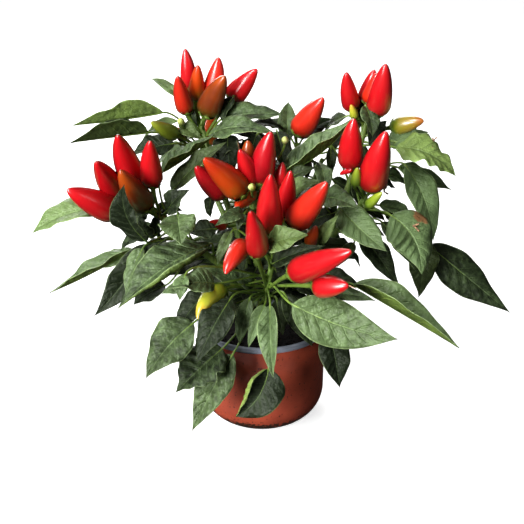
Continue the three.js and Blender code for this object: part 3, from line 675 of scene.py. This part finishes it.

# The smaller leaves, each given in the same way, with fewer facets. Their tones also paint in
# shade and sheen. Those of tone 0 or less take the darkest paint, a painted shade.
minor_leaf_rows = [
    ("left_middle", "left", 0.74, (-89, -48, 168), (-102, -62, 136), 14, dict(arch=0.05, tone_and_light=0.6)),
    ("left_under_fold", "left", 0.50, (-40, -30, 165), (-86, -45, 138), 18,
     dict(arch=0.05, tone_and_light=0.2, fresh=0.35)),
    ("left_lower_light", "left", 0.66, (-100, -12, 150), (-137, -15, 137), 15, dict(tone_and_light=0.9, fresh=0.2)),
    ("topleft_back", "topleft", 0.96, (-66, 55, 263), (-95, 75, 278), 9, dict(tone_and_light=0.6, fresh=0.3)),
    ("topleft_pale", "topleft", 0.86, (-70, 45, 247), (-104, 60, 226), 12, dict(tone_and_light=0.9, fresh=0.4)),
    ("topleft_dark", "topleft", 0.80, (-70, 15, 234), (-104, 5, 227), 24, dict(arch=0.04, tone_and_light=0.1)),
    ("topleft_mid_upper", "topleft", 0.90, (-32, 30, 251), (17, 20, 256), 25, dict(arch=0.06, tone_and_light=0.5)),
    ("midright_upright", "midright", 0.90, (21, 35, 233), (22, 54, 261.5), 17, dict(tone_and_light=0.7)),
    ("midright_small", "midright", 0.96, (17, 45, 241), (0, 55, 245), 12, dict(tone_and_light=0.3)),
    ("centre_olive", "centre", 0.85, (20, -12, 200), (45, -25, 214), 15, dict(tone_and_light=0.5, fresh=0.35)),
    ("centre_upright", "centre", 0.97, (4, -15, 200), (7, -18, 221), 14, dict(tone_and_light=0.7)),
    ("centre_left_small", "centre", 0.90, (-40, -5, 196), (-41, -8, 179), 10, dict(tone_and_light=0.2)),
    ("centre_left_dark", "centre", 0.80, (-12, -45, 194), (-34, -60, 189), 12, dict(tone_and_light=0.4)),
    ("centre_tiny", "centre", 0.82, (-13, -48, 194), (-18, -58, 184), 7, dict(tone_and_light=0.3)),
    ("centre_narrow", "front", 0.96, (-22, -50, 182), (-33, -58, 157), 9, dict(tone_and_light=0.3, fresh=0.3)),
    ("right_hanging_small", "topright", 0.70, (56, 25, 229), (55, 20, 203), 9, dict(tone_and_light=0.3)),
    ("right_inner_droop", "topright", 0.62, (46, 5, 220), (49, -20, 198), 14, dict(tone_and_light=0.5)),
    ("right_under_narrow", "right", 0.66, (94, -15, 178), (121, -30, 142), 15, dict(arch=0.05, tone_and_light=0.4)),
    ("right_under_second", "right", 0.55, (78, -15, 169), (108, -35, 131), 21, dict(arch=0.02, tone_and_light=0.3)),
    ("right_short", "right", 0.88, (92, -10, 190), (121, 0, 179), 14, dict(arch=0.1, tone_and_light=0.7)),
    ("topright_back_small", "topright", 0.70, (101, 30, 206), (124, 38, 192), 15, dict(tone_and_light=0.5)),
    ("topright_grey", "topright", 0.90, (103, 15, 231), (124, 20, 246), 17, dict(tone_and_light=1.0)),
    ("topright_small", "topright", 0.98, (80, 5, 265), (85, -5, 243), 16, dict(tone_and_light=0.4)),
    ("topright_tiny", "topright", 0.95, (93, 20, 245), (100, 22, 251), 6, dict(tone_and_light=0.4)),
    ("lowright_grey", "lowright", 0.90, (45, -55, 135), (84, -70, 134), 13, dict(tone_and_light=0.5)),
    ("lowright_dark", "lowright", 0.85, (47, -35, 143), (78, -40, 131), 14, dict(arch=0.06, tone_and_light=0.1)),
    ("lowright_olive", "right", 0.40, (72, -25, 164), (58, -35, 147), 10, dict(tone_and_light=0.3, fresh=0.3)),
    ("front_right_olive", "front", 0.40, (17, -62, 136), (38, -72, 97), 18, dict(tone_and_light=0.15, fresh=0.15)),
    ("front_inner_olive", "front", 0.50, (11, -58, 130), (16, -62, 102), 13, dict(tone_and_light=0.15, fresh=0.2)),
    ("front_pale", "front", 0.60, (2, -72, 132), (-10, -85, 103), 11, dict(tone_and_light=0.9)),
    ("front_grey", "front", 0.56, (-9, -68, 135), (-17, -74, 100.5), 13, dict(tone_and_light=0.65)),
    ("front_small", "front", 0.58, (-4, -64, 132), (-19, -72, 124), 9, dict(tone_and_light=0.6)),
    ("front_shade_left", "front", 0.20, (-4, -16, 140), (-14, -26, 112), 18, dict(tone_and_light=0.0)),
    ("front_shade_middle", "front", 0.26, (2, -20, 138), (4, -32, 108), 18, dict(tone_and_light=0.0)),
    ("front_shade_right", "front", 0.32, (10, -18, 140), (22, -30, 112), 18, dict(tone_and_light=0.0)),
    ("lowleft_inner", "front", 0.50, (-42, -62, 136), (-62, -75, 112), 22, dict(tone_and_light=0.05)),
    ("lowleft_grey", "front", 0.80, (-18, -62, 144), (-44, -70, 162), 12, dict(tone_and_light=0.6)),
    ("front_left_grey", "front", 0.74, (-6, -55, 139), (-24, -62, 155), 12, dict(tone_and_light=0.4)),
    ("centre_dark", "front", 0.82, (7, -60, 159), (45, -75, 179), 13, dict(tone_and_light=0.1)),
    ("centre_right_pale", "lowright", 0.80, (43, -40, 169), (56, -50, 194), 12, dict(tone_and_light=0.9, fresh=0.55)),
    ("left_dark_behind", "left", 0.70, (-73, -40, 172), (-90, -48, 158), 13, dict(tone_and_light=-0.1)),
    ("left_dark_high", "left", 0.88, (-84, -45, 175), (-90, -50, 195), 15, dict(tone_and_light=0.25)),
    ("left_dark_side", "left", 0.85, (-79, -40, 174), (-77, -42, 194), 13, dict(tone_and_light=0.2)),
    ("centre_back_left", "centre", 0.86, (-18, 18, 236), (-44, 22, 214), 22, dict(tone_and_light=0.0)),
    ("centre_back_middle", "centre", 0.92, (-4, 22, 240), (-10, 14, 214), 18, dict(tone_and_light=0.1)),
    ("centre_back_right", "midright", 0.70, (12, 24, 242), (18, 10, 212), 18, dict(tone_and_light=0.1)),
    ("heart_shade", "left", 0.70, (-35, -32, 177.5), (-57, -34, 175), 16, dict(tone_and_light=0.1)),
    ("right_dark", "right", 0.62, (76, -8, 188), (99, -5, 175), 12, dict(tone_and_light=0.0)),
    ("lowleft_curl_end", "front", 0.82, (-54, -86, 161), (-58, -92, 144), 12, dict(tone_and_light=0.8)),
    ("topright_sliver", "topright", 0.93, (113, 14, 236), (133, 16, 243), 9, dict(tone_and_light=0.6)),
    ("topright_dark_low", "topright", 0.92, (94, 22, 251), (85, 12, 233), 15, dict(tone_and_light=0.0)),
    ("centre_olive_back", "centre", 0.90, (20, -5, 209), (42, -8, 220), 12, dict(tone_and_light=0.1, fresh=0.2)),
    ("centre_shade", "centre", 0.60, (0, -30, 173), (7, -34, 153), 15, dict(tone_and_light=0.0)),
    ("centre_shade_right", "centre", 0.66, (34, -40, 176), (21, -44, 167), 10, dict(tone_and_light=0.0)),
    ("petiole_shade", "front", 0.50, (19, -40, 132), (10, -48, 120), 13, dict(tone_and_light=0.0)),
    ("centre_back_low", "centre", 0.80, (-27, 18, 240), (-24, 6, 214), 24, dict(tone_and_light=0.0)),
    ("left_dark_low", "left", 0.90, (-85, -42, 197), (-93, -46, 185), 12, dict(tone_and_light=0.2)),
    ("lowleft_tip", "front", 0.70, (-55, -84, 151), (-71, -90, 148), 9, dict(tone_and_light=0.7)),
    ("topleft_fill_low", "topleft", 0.85, (-24, 30, 240), (7, 25, 234), 13, dict(tone_and_light=0.1)),
    ("topleft_fill_high", "midright", 0.85, (-10, 40, 245), (20, 35, 241), 13, dict(tone_and_light=0.1)),
    ("left_gap", "left", 0.92, (-80, -30, 193), (-60, -32, 192), 11, dict(tone_and_light=0.1)),
    ("topright_gap", "topright", 0.93, (76, 24, 270), (77, 18, 243), 9, dict(tone_and_light=0.1)),
    ("topleft_gap", "topleft", 0.93, (-23, 34, 268), (-32, 28, 247), 12, dict(tone_and_light=0.1)),
    ("topleft_gap_left", "topleft", 0.90, (-60, 42, 259), (-53, 38, 240), 9, dict(tone_and_light=0.1)),
    ("right_gap", "right", 0.86, (73, 2, 206), (78, -4, 184), 13, dict(tone_and_light=0.0)),
    ("centre_gap", "centre", 0.88, (-21, 12, 229), (-23, 6, 212), 13, dict(tone_and_light=0.1)),
    ("centre_right_gap", "centre", 0.84, (35, 6, 226), (35, 2, 206), 8, dict(tone_and_light=0.2)),
    ("lowright_gap", "lowright", 0.70, (27, -38, 134), (45, -42, 126), 12, dict(tone_and_light=0.05)),
    ("right_low_gap", "lowright", 0.80, (28, -20, 159), (73, -20, 159), 13, dict(tone_and_light=0.1, fresh=0.2)),
    ("middle_gap", "midright", 0.90, (56, 30, 226), (67, 30, 247), 12, dict(tone_and_light=0.15)),
    ("right_behind", "right", 0.70, (100, 5, 178), (118, 10, 160), 16, dict(tone_and_light=0.1)),
    ("topleft_olive", "topleft", 0.82, (-66, 26, 246), (-48, 20, 236), 13, dict(tone_and_light=0.3, fresh=0.4)),
    ("left_small", "left", 0.96, (-71, -42, 194), (-53, -45, 212), 19, dict(tone_and_light=0.25)),
    ("left_inner_long", "left", 0.94, (-70, -15, 202), (-26, -10, 241), 20,
     dict(arch=0.06, tone_and_light=0.2, fresh=0.3)),
    ("left_under", "left", 0.64, (-77, -25, 128), (-103, -30, 113), 20, dict(tone_and_light=0.15)),
]
for name, branch, part, base, tip, width, habit in minor_leaf_rows:
    leaf_mesh = bmesh.new()
    grow_leaf(leaf_mesh, branch, part, base, tip, width, rows=22, columns=10, **habit)
    finish_piece(leaf_mesh, "leaf_" + name, [leaf_upper, leaf_under, stalk_skin])


# ---------------------------------------------------------------------------------------
# INNER LEAVES. The smaller, shaded leaves that fill each branch from the fork outwards, and
# the plant's back. They grow in turn round the branch, a little over a third of a turn apart.

golden_turn = 2.4
half_blade = 8

# Each branch: how many inner leaves, the stretch of it that they grow from, the turn of the
# first, and how far forward they may point.
inner_rows = {
    "left": (11, 0.15, 0.97, 0.5, 0.3),
    "topleft": (12, 0.2, 0.97, 1.2, 0.2),
    "centre": (12, 0.1, 0.95, 0.0, 0.4),
    "midright": (11, 0.15, 0.97, 2.0, 0.3),
    "topright": (12, 0.2, 0.98, 0.8, 0.2),
    "right": (8, 0.2, 0.9, 1.6, 0.2),
    "front": (9, 0.12, 0.7, 3.0, 0.3),
    "lowright": (7, 0.1, 0.9, 1.0, 0.4),
    "backleft": (10, 0.2, 1.0, 0.4, 1.0),
    "backright": (10, 0.2, 1.0, 2.4, 1.0),
}

# Gaps that let light through from front to back: the near end, far end and radius of each.
openings = [
    ((-65, -40, 211), (-98, 110, 199), 10),
    ((-49, -40, 186), (-73, 110, 163), 14),
    ((40, -40, 221), (59, 110, 213), 8),
    ((56, -40, 210), (84, 110, 193), 9),
    ((96, -40, 189), (141, 110, 165), 8),
    ((71, -60, 113), (91, 60, 73), 10),
    ((103, -20, 231), (127, 110, 202), 6),
    ((57, -40, 219), (74, 110, 182), 5),
]


def dome_height(x, y):
    """How high the inner leaves may reach, in millimetres, over a place on the floor."""
    return 252 - 0.0042 * x * x - 0.004 * (y - 20) ** 2


for name, (count, first, last, start_turn, forward) in inner_rows.items():
    growth = random.Random("inner " + name)
    inner_mesh = bmesh.new()
    for i in range(count):
        part = first + (last - first) * (i + growth.uniform(0, 0.8)) / count
        turn = start_turn + golden_turn * i + growth.uniform(-0.4, 0.4)
        out = Vector((math.cos(turn), math.sin(turn), 0))
        if out.y < -forward:
            out.y *= -0.6
        out.normalize()
        foot = branches[name].point(part) / MM
        base = foot + out * growth.uniform(12, 22) + Vector((0, 0, growth.uniform(0, 8)))
        droop = math.radians(growth.uniform(0, 50))
        length = growth.uniform(30, 50)
        tip = base + length * (out * math.cos(droop) - Vector((0, 0, math.sin(droop))))
        middle = base.lerp(tip, 0.5)
        shut = False
        for near_end, far_end, clear in openings:
            foot_point, share = geometry.intersect_point_line(middle, Vector(near_end), Vector(far_end))
            shut = shut or (middle - foot_point).length < clear + half_blade
        if shut:
            continue
        spare = dome_height(tip.x, tip.y) - tip.z
        if spare < 0:
            tip.z += spare
        grow_leaf(inner_mesh, name, part, base, tip, 0.42 * length, rows=14, columns=8,
                  tone_and_light=growth.uniform(0, 0.45), fresh=growth.uniform(0, 0.2))
    finish_piece(inner_mesh, "inner_leaves_" + name, [leaf_upper, leaf_under, stalk_skin])


# ---------------------------------------------------------------------------------------
# CHILLIES. Short pointed upright berries with a thin waxy skin. They ripen from yellow-green
# through brown and orange to red, from the tip down. Each sits in a small toothed green cup.

shoulder = 0.22
lobing = 0.012


def berry_radius(u, width):
    if u < shoulder:
        return 0.5 * width * math.sqrt(max(0, 1 - (1 - u / shoulder) ** 2))
    taper = (u - shoulder) / (1 - shoulder)
    return 0.5 * width * max(0, 1 - taper ** 2.6) ** 0.5 * (1 - 0.36 * taper ** 1.5)


def berry_finish(name, neck, body, tip, freckle):
    """Waxy berry skin, coloured from neck to tip, with faint streaks and a small dry point."""
    skin = Finish(name)
    along = skin.value("along")
    uneven = skin.sum("ADD", along, skin.ramp(skin.noise(55, 2), 0.3, 0.7, -0.14, 0.14))
    colour = skin.mix(skin.ramp(uneven, 0.02, 0.5), neck, body)
    colour = skin.mix(skin.ramp(uneven, 0.5, 1.0), colour, tip)
    streaked = skin.node("Mapping", {"Vector": skin.place(), "Scale": (1, 1, 0.25)}).outputs[0]
    streaks = skin.noise(190, 4, 0.6, streaked)
    colour = skin.mix(skin.ramp(streaks, 0.5, 0.8, 0, 0.15), colour, freckle)
    colour = skin.mix(skin.ramp(along, 0.988, 0.998, 0, 0.8), colour, paint(96, 62, 34))
    shine = skin.node("BsdfPrincipled", {
        "Base Color": colour,
        "Roughness": skin.ramp(streaks, 0.3, 0.7, 0.30, 0.38),
        "Specular IOR Level": 0.55,
        "Coat Weight": 0.8,
        "Coat Roughness": 0.18,
        "Normal": skin.bump(skin.noise(120, 2), 0.25 * MM, 0.5),
    })
    return skin.coat_on(shine.outputs[0])


# Each ripeness: its finish and its slot, and the skin's colour at the neck, along the body, at
# the tip and in its freckles.
ripeness_rows = {
    "red": ("berry_red", "chilli_red", (190, 14, 24), (208, 18, 27), (206, 16, 24), (228, 52, 48)),
    "dark": ("berry_dark_red", "chilli_red", (150, 8, 20), (178, 12, 26), (190, 14, 26), (208, 36, 44)),
    "orange": ("berry_orange", "chilli_orange", (176, 92, 16), (222, 74, 16), (220, 56, 18), (240, 104, 40)),
    "scarlet": ("berry_scarlet", "chilli_orange",
                (206, 42, 18), (218, 42, 25), (220, 38, 26), (236, 84, 50)),
    "turning": ("berry_turning", "chilli_turning", (78, 66, 8), (112, 42, 8), (176, 72, 14), (170, 84, 24)),
    "blushing": ("berry_blushing", "chilli_green",
                 (110, 138, 26), (150, 130, 36), (170, 96, 30), (200, 160, 80)),
    "yellow": ("berry_yellow_green", "chilli_green",
               (160, 178, 40), (196, 200, 58), (214, 172, 52), (220, 214, 110)),
    "green": ("berry_green", "chilli_green", (104, 134, 34), (136, 158, 40), (158, 172, 48), (190, 204, 96)),
}
berry_skins = {ripe: berry_finish(skin, *(paint(*colour) for colour in colours))
               for ripe, (skin, slot, *colours) in ripeness_rows.items()}


def grow_berry(neck, tip, width, ripe, name, bend=0.0):
    """A berry on its own, slightly three-lobed. A set bend arches it upwards, like a hanging one."""
    nature = random.Random(f"{neck} {tip}")
    neck, tip = place_of(neck), place_of(tip)
    axis = tip - neck
    sideways = axis.normalized().orthogonal()
    sideways = Matrix.Rotation(nature.uniform(0, 2 * math.pi), 3, axis.normalized()) @ sideways
    if bend:
        sideways = (Vector((0, 0, 1)) - axis * axis.z / axis.length_squared).normalized()
    bend = bend or nature.uniform(0.01, 0.035)
    steps = [0.0, 0.012, 0.03, 0.06, 0.1, 0.15, 0.21] + [0.28 + 0.06 * i for i in range(11)]
    steps += [0.915, 0.945, 0.968, 0.984, 0.994, 1.0]
    points = [neck + axis * u + sideways * (bend * axis.length * 4 * u * (1 - u)) for u in steps]
    radii = [max(0.1, berry_radius(u, width)) * MM for u in steps]
    bm = bmesh.new()
    along = bm.verts.layers.float.new("along")
    turn = nature.uniform(0, 6)
    for u, point, radius, ring in zip(steps, points, radii, sweep(bm, points, radii, 24)):
        for k, vert in enumerate(ring):
            vert[along] = u
            swell = math.sin(3 * 2 * math.pi * k / 24 + turn) * math.sin(math.pi * min(1, u * 1.2)) * lobing
            swell += 0.025 * noise.noise(vert.co * 70)
            vert.co = point + (vert.co - point) * (1 + swell)
    return finish_piece(bm, name, [berry_skins[ripe]])


def grow_stalk(bm, branch, part, neck, tip, width, thin=1.0):
    """A berry's ribbed stalk, which widens into the cup with five teeth round its shoulder."""
    neck, tip = place_of(neck), place_of(tip)
    axis = (tip - neck).normalized()
    length = (tip - neck).length
    stalk = stalk_line(branch, part, neck, axis)
    last = len(stalk) - 1
    points, radii = [], []
    for i, point in enumerate(stalk[:-1]):
        t = i / last
        points.append(point)
        radii.append((1.1 + 1.0 * t ** 2 + 0.9 * math.exp(-14 * t)) * thin * MM)
    cup_high = 0.055 * length
    rim = berry_radius(0.055, width) * MM
    for t, spread in ((-0.35, 0.52), (0.0, 0.72), (0.35, 0.88), (0.7, 1.0), (1.0, 1.06)):
        points.append(neck + axis * cup_high * t)
        least, clear = (1.8, 0.25) if t > 0 else (2.0, 0)
        radii.append(max(least * thin * MM, rim * spread + clear * MM))
    points.append(neck + axis * cup_high * 0.95)
    radii.append(rim * 0.85)
    rings = sweep(bm, points, radii, 20)
    for ring, share in ((rings[-2], 1), (rings[-3], 0.5)):
        for k, vert in enumerate(ring):
            tooth = max(0, math.cos(2 * math.pi * k / 4))
            vert.co += axis * cup_high * 0.7 * tooth * share


# Each berry: its name, its branch and how far along it grows, where its neck and its tip are,
# its width, and how ripe it is. Millimetres.
chilli_rows = [
    ("topleft_1", "topleft", 0.95, (-61, 62, 270), (-64, 66, 303), 14, "red"),
    ("topleft_2", "topleft", 0.92, (-61, 38, 254), (-67, 30, 285), 15, "scarlet"),
    ("topleft_3", "topleft", 1.00, (-44, 52, 264), (-36, 58, 297), 17, "scarlet"),
    ("topleft_4", "topleft", 0.97, (-46, 30, 253), (-29, 22, 286), 20, "turning"),
    ("topleft_5", "topleft", 0.93, (-26, 45, 263.5), (-4, 50, 288.3), 18, "red"),
    ("middle_1", "midright", 0.97, (28, 28, 238.5), (48.3, 20, 269.5), 20, "scarlet"),
    ("left_1", "left", 1.00, (-106.5, -40, 193), (-142, -48, 213), 22, "red"),
    ("left_2", "left", 0.93, (-95, -32, 213), (-103, -45, 252), 20, "red"),
    ("left_3", "left", 0.88, (-84, -48, 198), (-100, -60, 230), 20, "turning"),
    ("centre_1", "centre", 0.94, (-14, -25, 202), (-43, -36, 233), 21.5, "orange"),
    ("centre_2", "centre", 0.99, (-2, -15, 208), (7, -15, 249), 21, "dark"),
    ("front_1", "front", 1.00, (6, -66, 185), (6, -72, 230), 19, "red"),
    ("front_2", "front", 0.91, (21, -51, 186), (46, -62, 222), 21, "scarlet"),
    ("front_3", "front", 0.66, (-3, -84, 174), (-8, -94, 210), 16, "red"),
    ("front_4", "front", 0.64, (20, -78, 158), (61, -98, 183), 20, "red"),
    ("front_5", "front", 0.70, (37, -78, 149.6), (61, -90, 154.6), 18, "red"),
    ("topright_1", "topright", 0.97, (71.6, 14, 260), (64.6, 10, 290), 14.5, "red"),
    ("topright_2", "topright", 0.99, (89, 8, 257), (93, 2, 297), 19, "red"),
    ("right_1", "right", 0.97, (69, -12, 220), (69, -16, 259), 20, "red"),
    ("right_2", "right", 0.99, (83, -22, 205), (91, -30, 252), 23, "red"),
    ("back_1", "backleft", 0.99, (-50, 84, 218), (-48, 96, 254), 18, "orange"),
]
for name, branch, part, neck, tip, width, ripe in chilli_rows:
    berry = grow_berry(neck, tip, width, ripe, "chilli_" + name + "_berry")
    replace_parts(berry, "chilli_" + name)
    cup_mesh = bmesh.new()
    grow_stalk(cup_mesh, branch, part, neck, tip, width)
    finish_piece(cup_mesh, "chilli_" + name + "_stalk", [stalk_skin])

# The smaller and half-hidden berries, given in the same way. Two that hang are arched.
hanging = {"front_9": 0.2, "front_8": 0.08}
minor_chilli_rows = [
    ("topleft_6", "topleft", 0.96, (-55, 50, 263), (-52, 45, 292), 14, "orange"),
    ("topleft_7", "topleft", 0.84, (-68, 22, 239), (-87, 10, 252), 13, "green"),
    ("topleft_8", "topleft", 0.88, (-64, 28, 233), (-69, 30, 244), 8, "turning"),
    ("left_4", "left", 0.98, (-109, -32, 203), (-119, -50, 234), 19, "red"),
    ("left_5", "left", 0.95, (-81, -38, 212), (-80, -45, 248), 17, "red"),
    ("centre_3", "centre", 0.90, (-27, -15, 200), (-50, -24, 224.5), 20, "dark"),
    ("centre_4", "centre", 0.96, (-9, -18, 208), (-17, -22, 237), 16, "red"),
    ("centre_5", "centre", 0.97, (-8, -5, 212), (-11, -3, 240), 17, "turning"),
    ("centre_6", "centre", 0.92, (-8, -12, 203), (-20, -30, 194), 15, "orange"),
    ("centre_7", "centre", 0.70, (-28, -20, 176), (-41, -30, 182), 9, "red"),
    ("centre_8", "centre", 0.98, (12, -12, 203), (16, -8, 224), 12, "red"),
    ("front_6", "lowright", 0.70, (35, -45, 169), (40, -50, 186), 10, "orange"),
    ("front_7", "front", 0.95, (14, -42, 186), (21, -40, 225), 16, "red"),
    ("front_8", "front", 0.98, (-11, -68, 179), (-26, -82, 160), 15, "scarlet"),
    ("front_9", "front", 0.60, (-27, -72, 144), (-46, -89, 128), 13.5, "yellow"),
    ("topright_3", "topright", 0.98, (81, 24, 263), (89, 30, 290), 14, "red"),
    ("topright_4", "topright", 0.96, (82, 16, 265), (89, 14, 289), 14, "scarlet"),
    ("topright_5", "topright", 0.99, (72, 2, 256), (68, 0, 267), 7, "yellow"),
    ("topright_6", "topright", 0.92, (103, 20, 246), (128, 15, 252), 15, "blushing"),
    ("right_3", "right", 0.95, (70, -26, 210), (71, -30, 225), 9, "green"),
    ("right_4", "right", 0.90, (80, -28, 194), (90, -34, 207), 8, "green"),
]
for name, branch, part, neck, tip, width, ripe in minor_chilli_rows:
    grow_berry(neck, tip, width, ripe, "chilli_" + name + "_berry", bend=hanging.get(name, 0))
    cup_mesh = bmesh.new()
    grow_stalk(cup_mesh, branch, part, neck, tip, width, thin=min(1, 0.35 + width / 24))
    finish_piece(cup_mesh, "chilli_" + name + "_stalk", [stalk_skin])


# ---------------------------------------------------------------------------------------
# BUDS AND DRY BITS. Round pale flower buds on short stalks, the shrivelled flowers that hang
# on beside ripe berries, a torn bit of berry skin, and dry threads left at two berry tips.

def bud_finish():
    skin = Finish("flower_bud_skin")
    pale = skin.mix(skin.ramp(skin.noise(300, 2), 0.35, 0.7), paint(150, 170, 66), paint(214, 218, 140))
    shine = skin.node("BsdfPrincipled", {"Base Color": pale, "Roughness": 0.5})
    return skin.coat_on(shine.outputs[0])


def dry_finish():
    skin = Finish("dried_flower_and_leaf")
    shade = skin.mix(skin.ramp(skin.noise(500, 4, 0.7), 0.35, 0.65), paint(84, 52, 34), paint(190, 150, 112))
    shine = skin.node("BsdfPrincipled", {"Base Color": shade, "Roughness": 0.8})
    return skin.coat_on(shine.outputs[0])


bud_skin, dry_skin = bud_finish(), dry_finish()

# Each bud: its name, its branch and how far along it grows, its foot, and its width.
bud_rows = [
    ("middle", "centre", 0.98, (17.5, -9, 239), 5.6),
    ("centre", "centre", 0.93, (-7.5, -40, 210), 5.8),
    ("topleft", "topleft", 0.95, (-64.5, 20, 248), 6.0),
    ("topleft_low", "topleft", 0.93, (-59, 30, 242), 3.6),
]
for name, branch, part, spot, width in bud_rows:
    bud_mesh = bmesh.new()
    top = Vector(spot) + Vector((0, -1, 3)).normalized() * width
    grow_stalk(bud_mesh, branch, part, spot, top, width, thin=0.5)
    for face in bud_mesh.faces:
        face.material_index = 1
    points = [place_of(spot).lerp(place_of(top), i / 12) for i in range(13)]
    bulge = [0.5 * width * MM * math.sin(math.pi * (0.06 + 0.9 * i / 12)) ** 0.7 for i in range(13)]
    sweep(bud_mesh, points, bulge, 18)
    finish_piece(bud_mesh, "flower_bud_" + name, [bud_skin, stalk_skin])

# Each dried flower: its name, its middle, how far its shreds reach, and how many it has.
dry_rows = [
    ("beside_right_berry", (94, -18, 204), 5.5, 6),
    ("under_topleft_berry", (-33, 42, 254), 4.0, 5),
    ("beside_left_berry", (-73, -40, 219), 2.4, 2),
    ("on_weathered_leaf", (118, -27, 178), 3.5, 5),
    ("behind_bright_leaf", (133, 4, 236), 4.5, 6),
]
for name, spot, spread, count in dry_rows:
    crumple = random.Random("dry " + name)
    dry_mesh = bmesh.new()
    for i in range(count):
        away = Vector([crumple.uniform(-1, 1) for _ in range(3)]).normalized() * spread
        curl = Vector([crumple.uniform(-1, 1) for _ in range(3)]) * spread * 0.5
        path = [place_of(Vector(spot) + away * t + curl * t * t) for t in (i / 8 for i in range(9))]
        sweep(dry_mesh, path, [crumple.uniform(0.35, 0.8) * MM for _ in path], 8)
    finish_piece(dry_mesh, "dry_bits_" + name, [dry_skin])

torn_mesh = bmesh.new()
torn_path = [place_of((60, -16, 217)).lerp(place_of((69, -18, 220.5)), i / 8) for i in range(9)]
torn_radii = [2.2 * MM * math.sin(math.pi * (0.05 + 0.9 * i / 8)) ** 0.5 for i in range(9)]
sweep(torn_mesh, torn_path, torn_radii, 10)
for vert in torn_mesh.verts:
    vert.co += 0.8 * MM * noise.noise_vector(vert.co * 300)
finish_piece(torn_mesh, "torn_berry_bit", [berry_skins["red"]])

thread_rows = [
    ("front", (61, -90, 154.6), (66, -92, 153)),
    ("centre", (-17, -22, 237), (-18, -24, 243)),
]
for name, start, end in thread_rows:
    thread_mesh = bmesh.new()
    path = [place_of(start).lerp(place_of(end), i / 8) for i in range(9)]
    sweep(thread_mesh, path, [(0.45 - 0.03 * i) * MM for i in range(9)], 8)
    finish_piece(thread_mesh, "dry_style_" + name, [dry_skin])


# ---------------------------------------------------------------------------------------
# STUDIO. A pale paper sweep for a floor and wall. Two soft lights stand on the left in front,
# with a bounce at table height, one stands behind and a weak one fills in from the right.

paper_width = 8
paper_front = -3
bend_start = 1.2
bend_radius = 1.5
sweep_mesh = bmesh.new()
profile = [(0, paper_front, 0), (0, bend_start, 0)]
for i in range(1, 13):
    angle = i * math.pi / 24
    back = bend_start + bend_radius * math.sin(angle)
    profile.append((0, back, bend_radius - bend_radius * math.cos(angle)))
corners = [sweep_mesh.verts.new(point) for point in profile]
edges = [sweep_mesh.edges.new(pair) for pair in zip(corners, corners[1:])]
bmesh.ops.translate(sweep_mesh, vec=(-paper_width / 2, 0, 0), verts=corners)
wide = bmesh.ops.extrude_edge_only(sweep_mesh, edges=edges)["geom"]
far_corners = [part for part in wide if isinstance(part, bmesh.types.BMVert)]
bmesh.ops.translate(sweep_mesh, vec=(paper_width, 0, 0), verts=far_corners)
bmesh.ops.recalc_face_normals(sweep_mesh, faces=sweep_mesh.faces)
for face in sweep_mesh.faces:
    face.smooth = True
floor_data = bpy.data.meshes.new("studio_sweep")
sweep_mesh.to_mesh(floor_data)
sweep_mesh.free()
studio_floor = bpy.data.objects.new("studio_sweep", floor_data)
bpy.context.scene.collection.objects.link(studio_floor)
studio_floor.visible_diffuse = False
studio_floor.visible_glossy = False
backdrop = Finish("studio_paper")
paper = backdrop.node("BsdfPrincipled", {
    "Base Color": paint(236, 236, 236),
    "Roughness": 0.9,
    "Specular IOR Level": 0.1,
    "Emission Color": paint(255, 255, 255),
    "Emission Strength": 0.7,
})
floor_data.materials.append(backdrop.coat_on(paper.outputs[0]))


def soft_light(name, place, target, size, power):
    lamp = bpy.data.lights.new(name, "AREA")
    lamp.shape = "DISK"
    lamp.size = size
    lamp.energy = power
    light = bpy.data.objects.new(name, lamp)
    light.location = place
    light.rotation_euler = (Vector(target) - Vector(place)).to_track_quat("-Z", "Y").to_euler()
    bpy.context.scene.collection.objects.link(light)


soft_light("key_light", (-0.8, -1.0, 1.4), (0, 0, 0.15), 0.7, 27)
soft_light("low_left_softbox", (-1.1, -1.3, 0.45), (0, 0, 0.15), 0.8, 36)
soft_light("table_bounce", (-0.8, -1.0, 0.04), (-0.05, 0, 0.2), 0.7, 11)
soft_light("back_softbox", (-0.5, 1.3, 1.0), (0, 0, 0.15), 1.4, 30)
soft_light("right_fill", (1.2, -1.1, 0.5), (0, 0, 0.15), 0.8, 2)
studio_air = bpy.data.worlds.new("studio_air")
studio_air.use_nodes = True
studio_air.node_tree.nodes["Background"].inputs["Color"].default_value = (1, 1, 1, 1)
studio_air.node_tree.nodes["Background"].inputs["Strength"].default_value = 0.03
bpy.context.scene.world = studio_air
bpy.context.scene.view_settings.view_transform = "Standard"

camera_place = (0, -0.563, 0.349)
camera_looks_down = 20.5
camera_lens = bpy.data.cameras.new("studio_camera")
camera_lens.lens = 50
camera_lens.sensor_width = 36
studio_camera = bpy.data.objects.new("studio_camera", camera_lens)
studio_camera.location = camera_place
studio_camera.rotation_euler = (math.radians(90 - camera_looks_down), 0, 0)
bpy.context.scene.collection.objects.link(studio_camera)
bpy.context.scene.camera = studio_camera
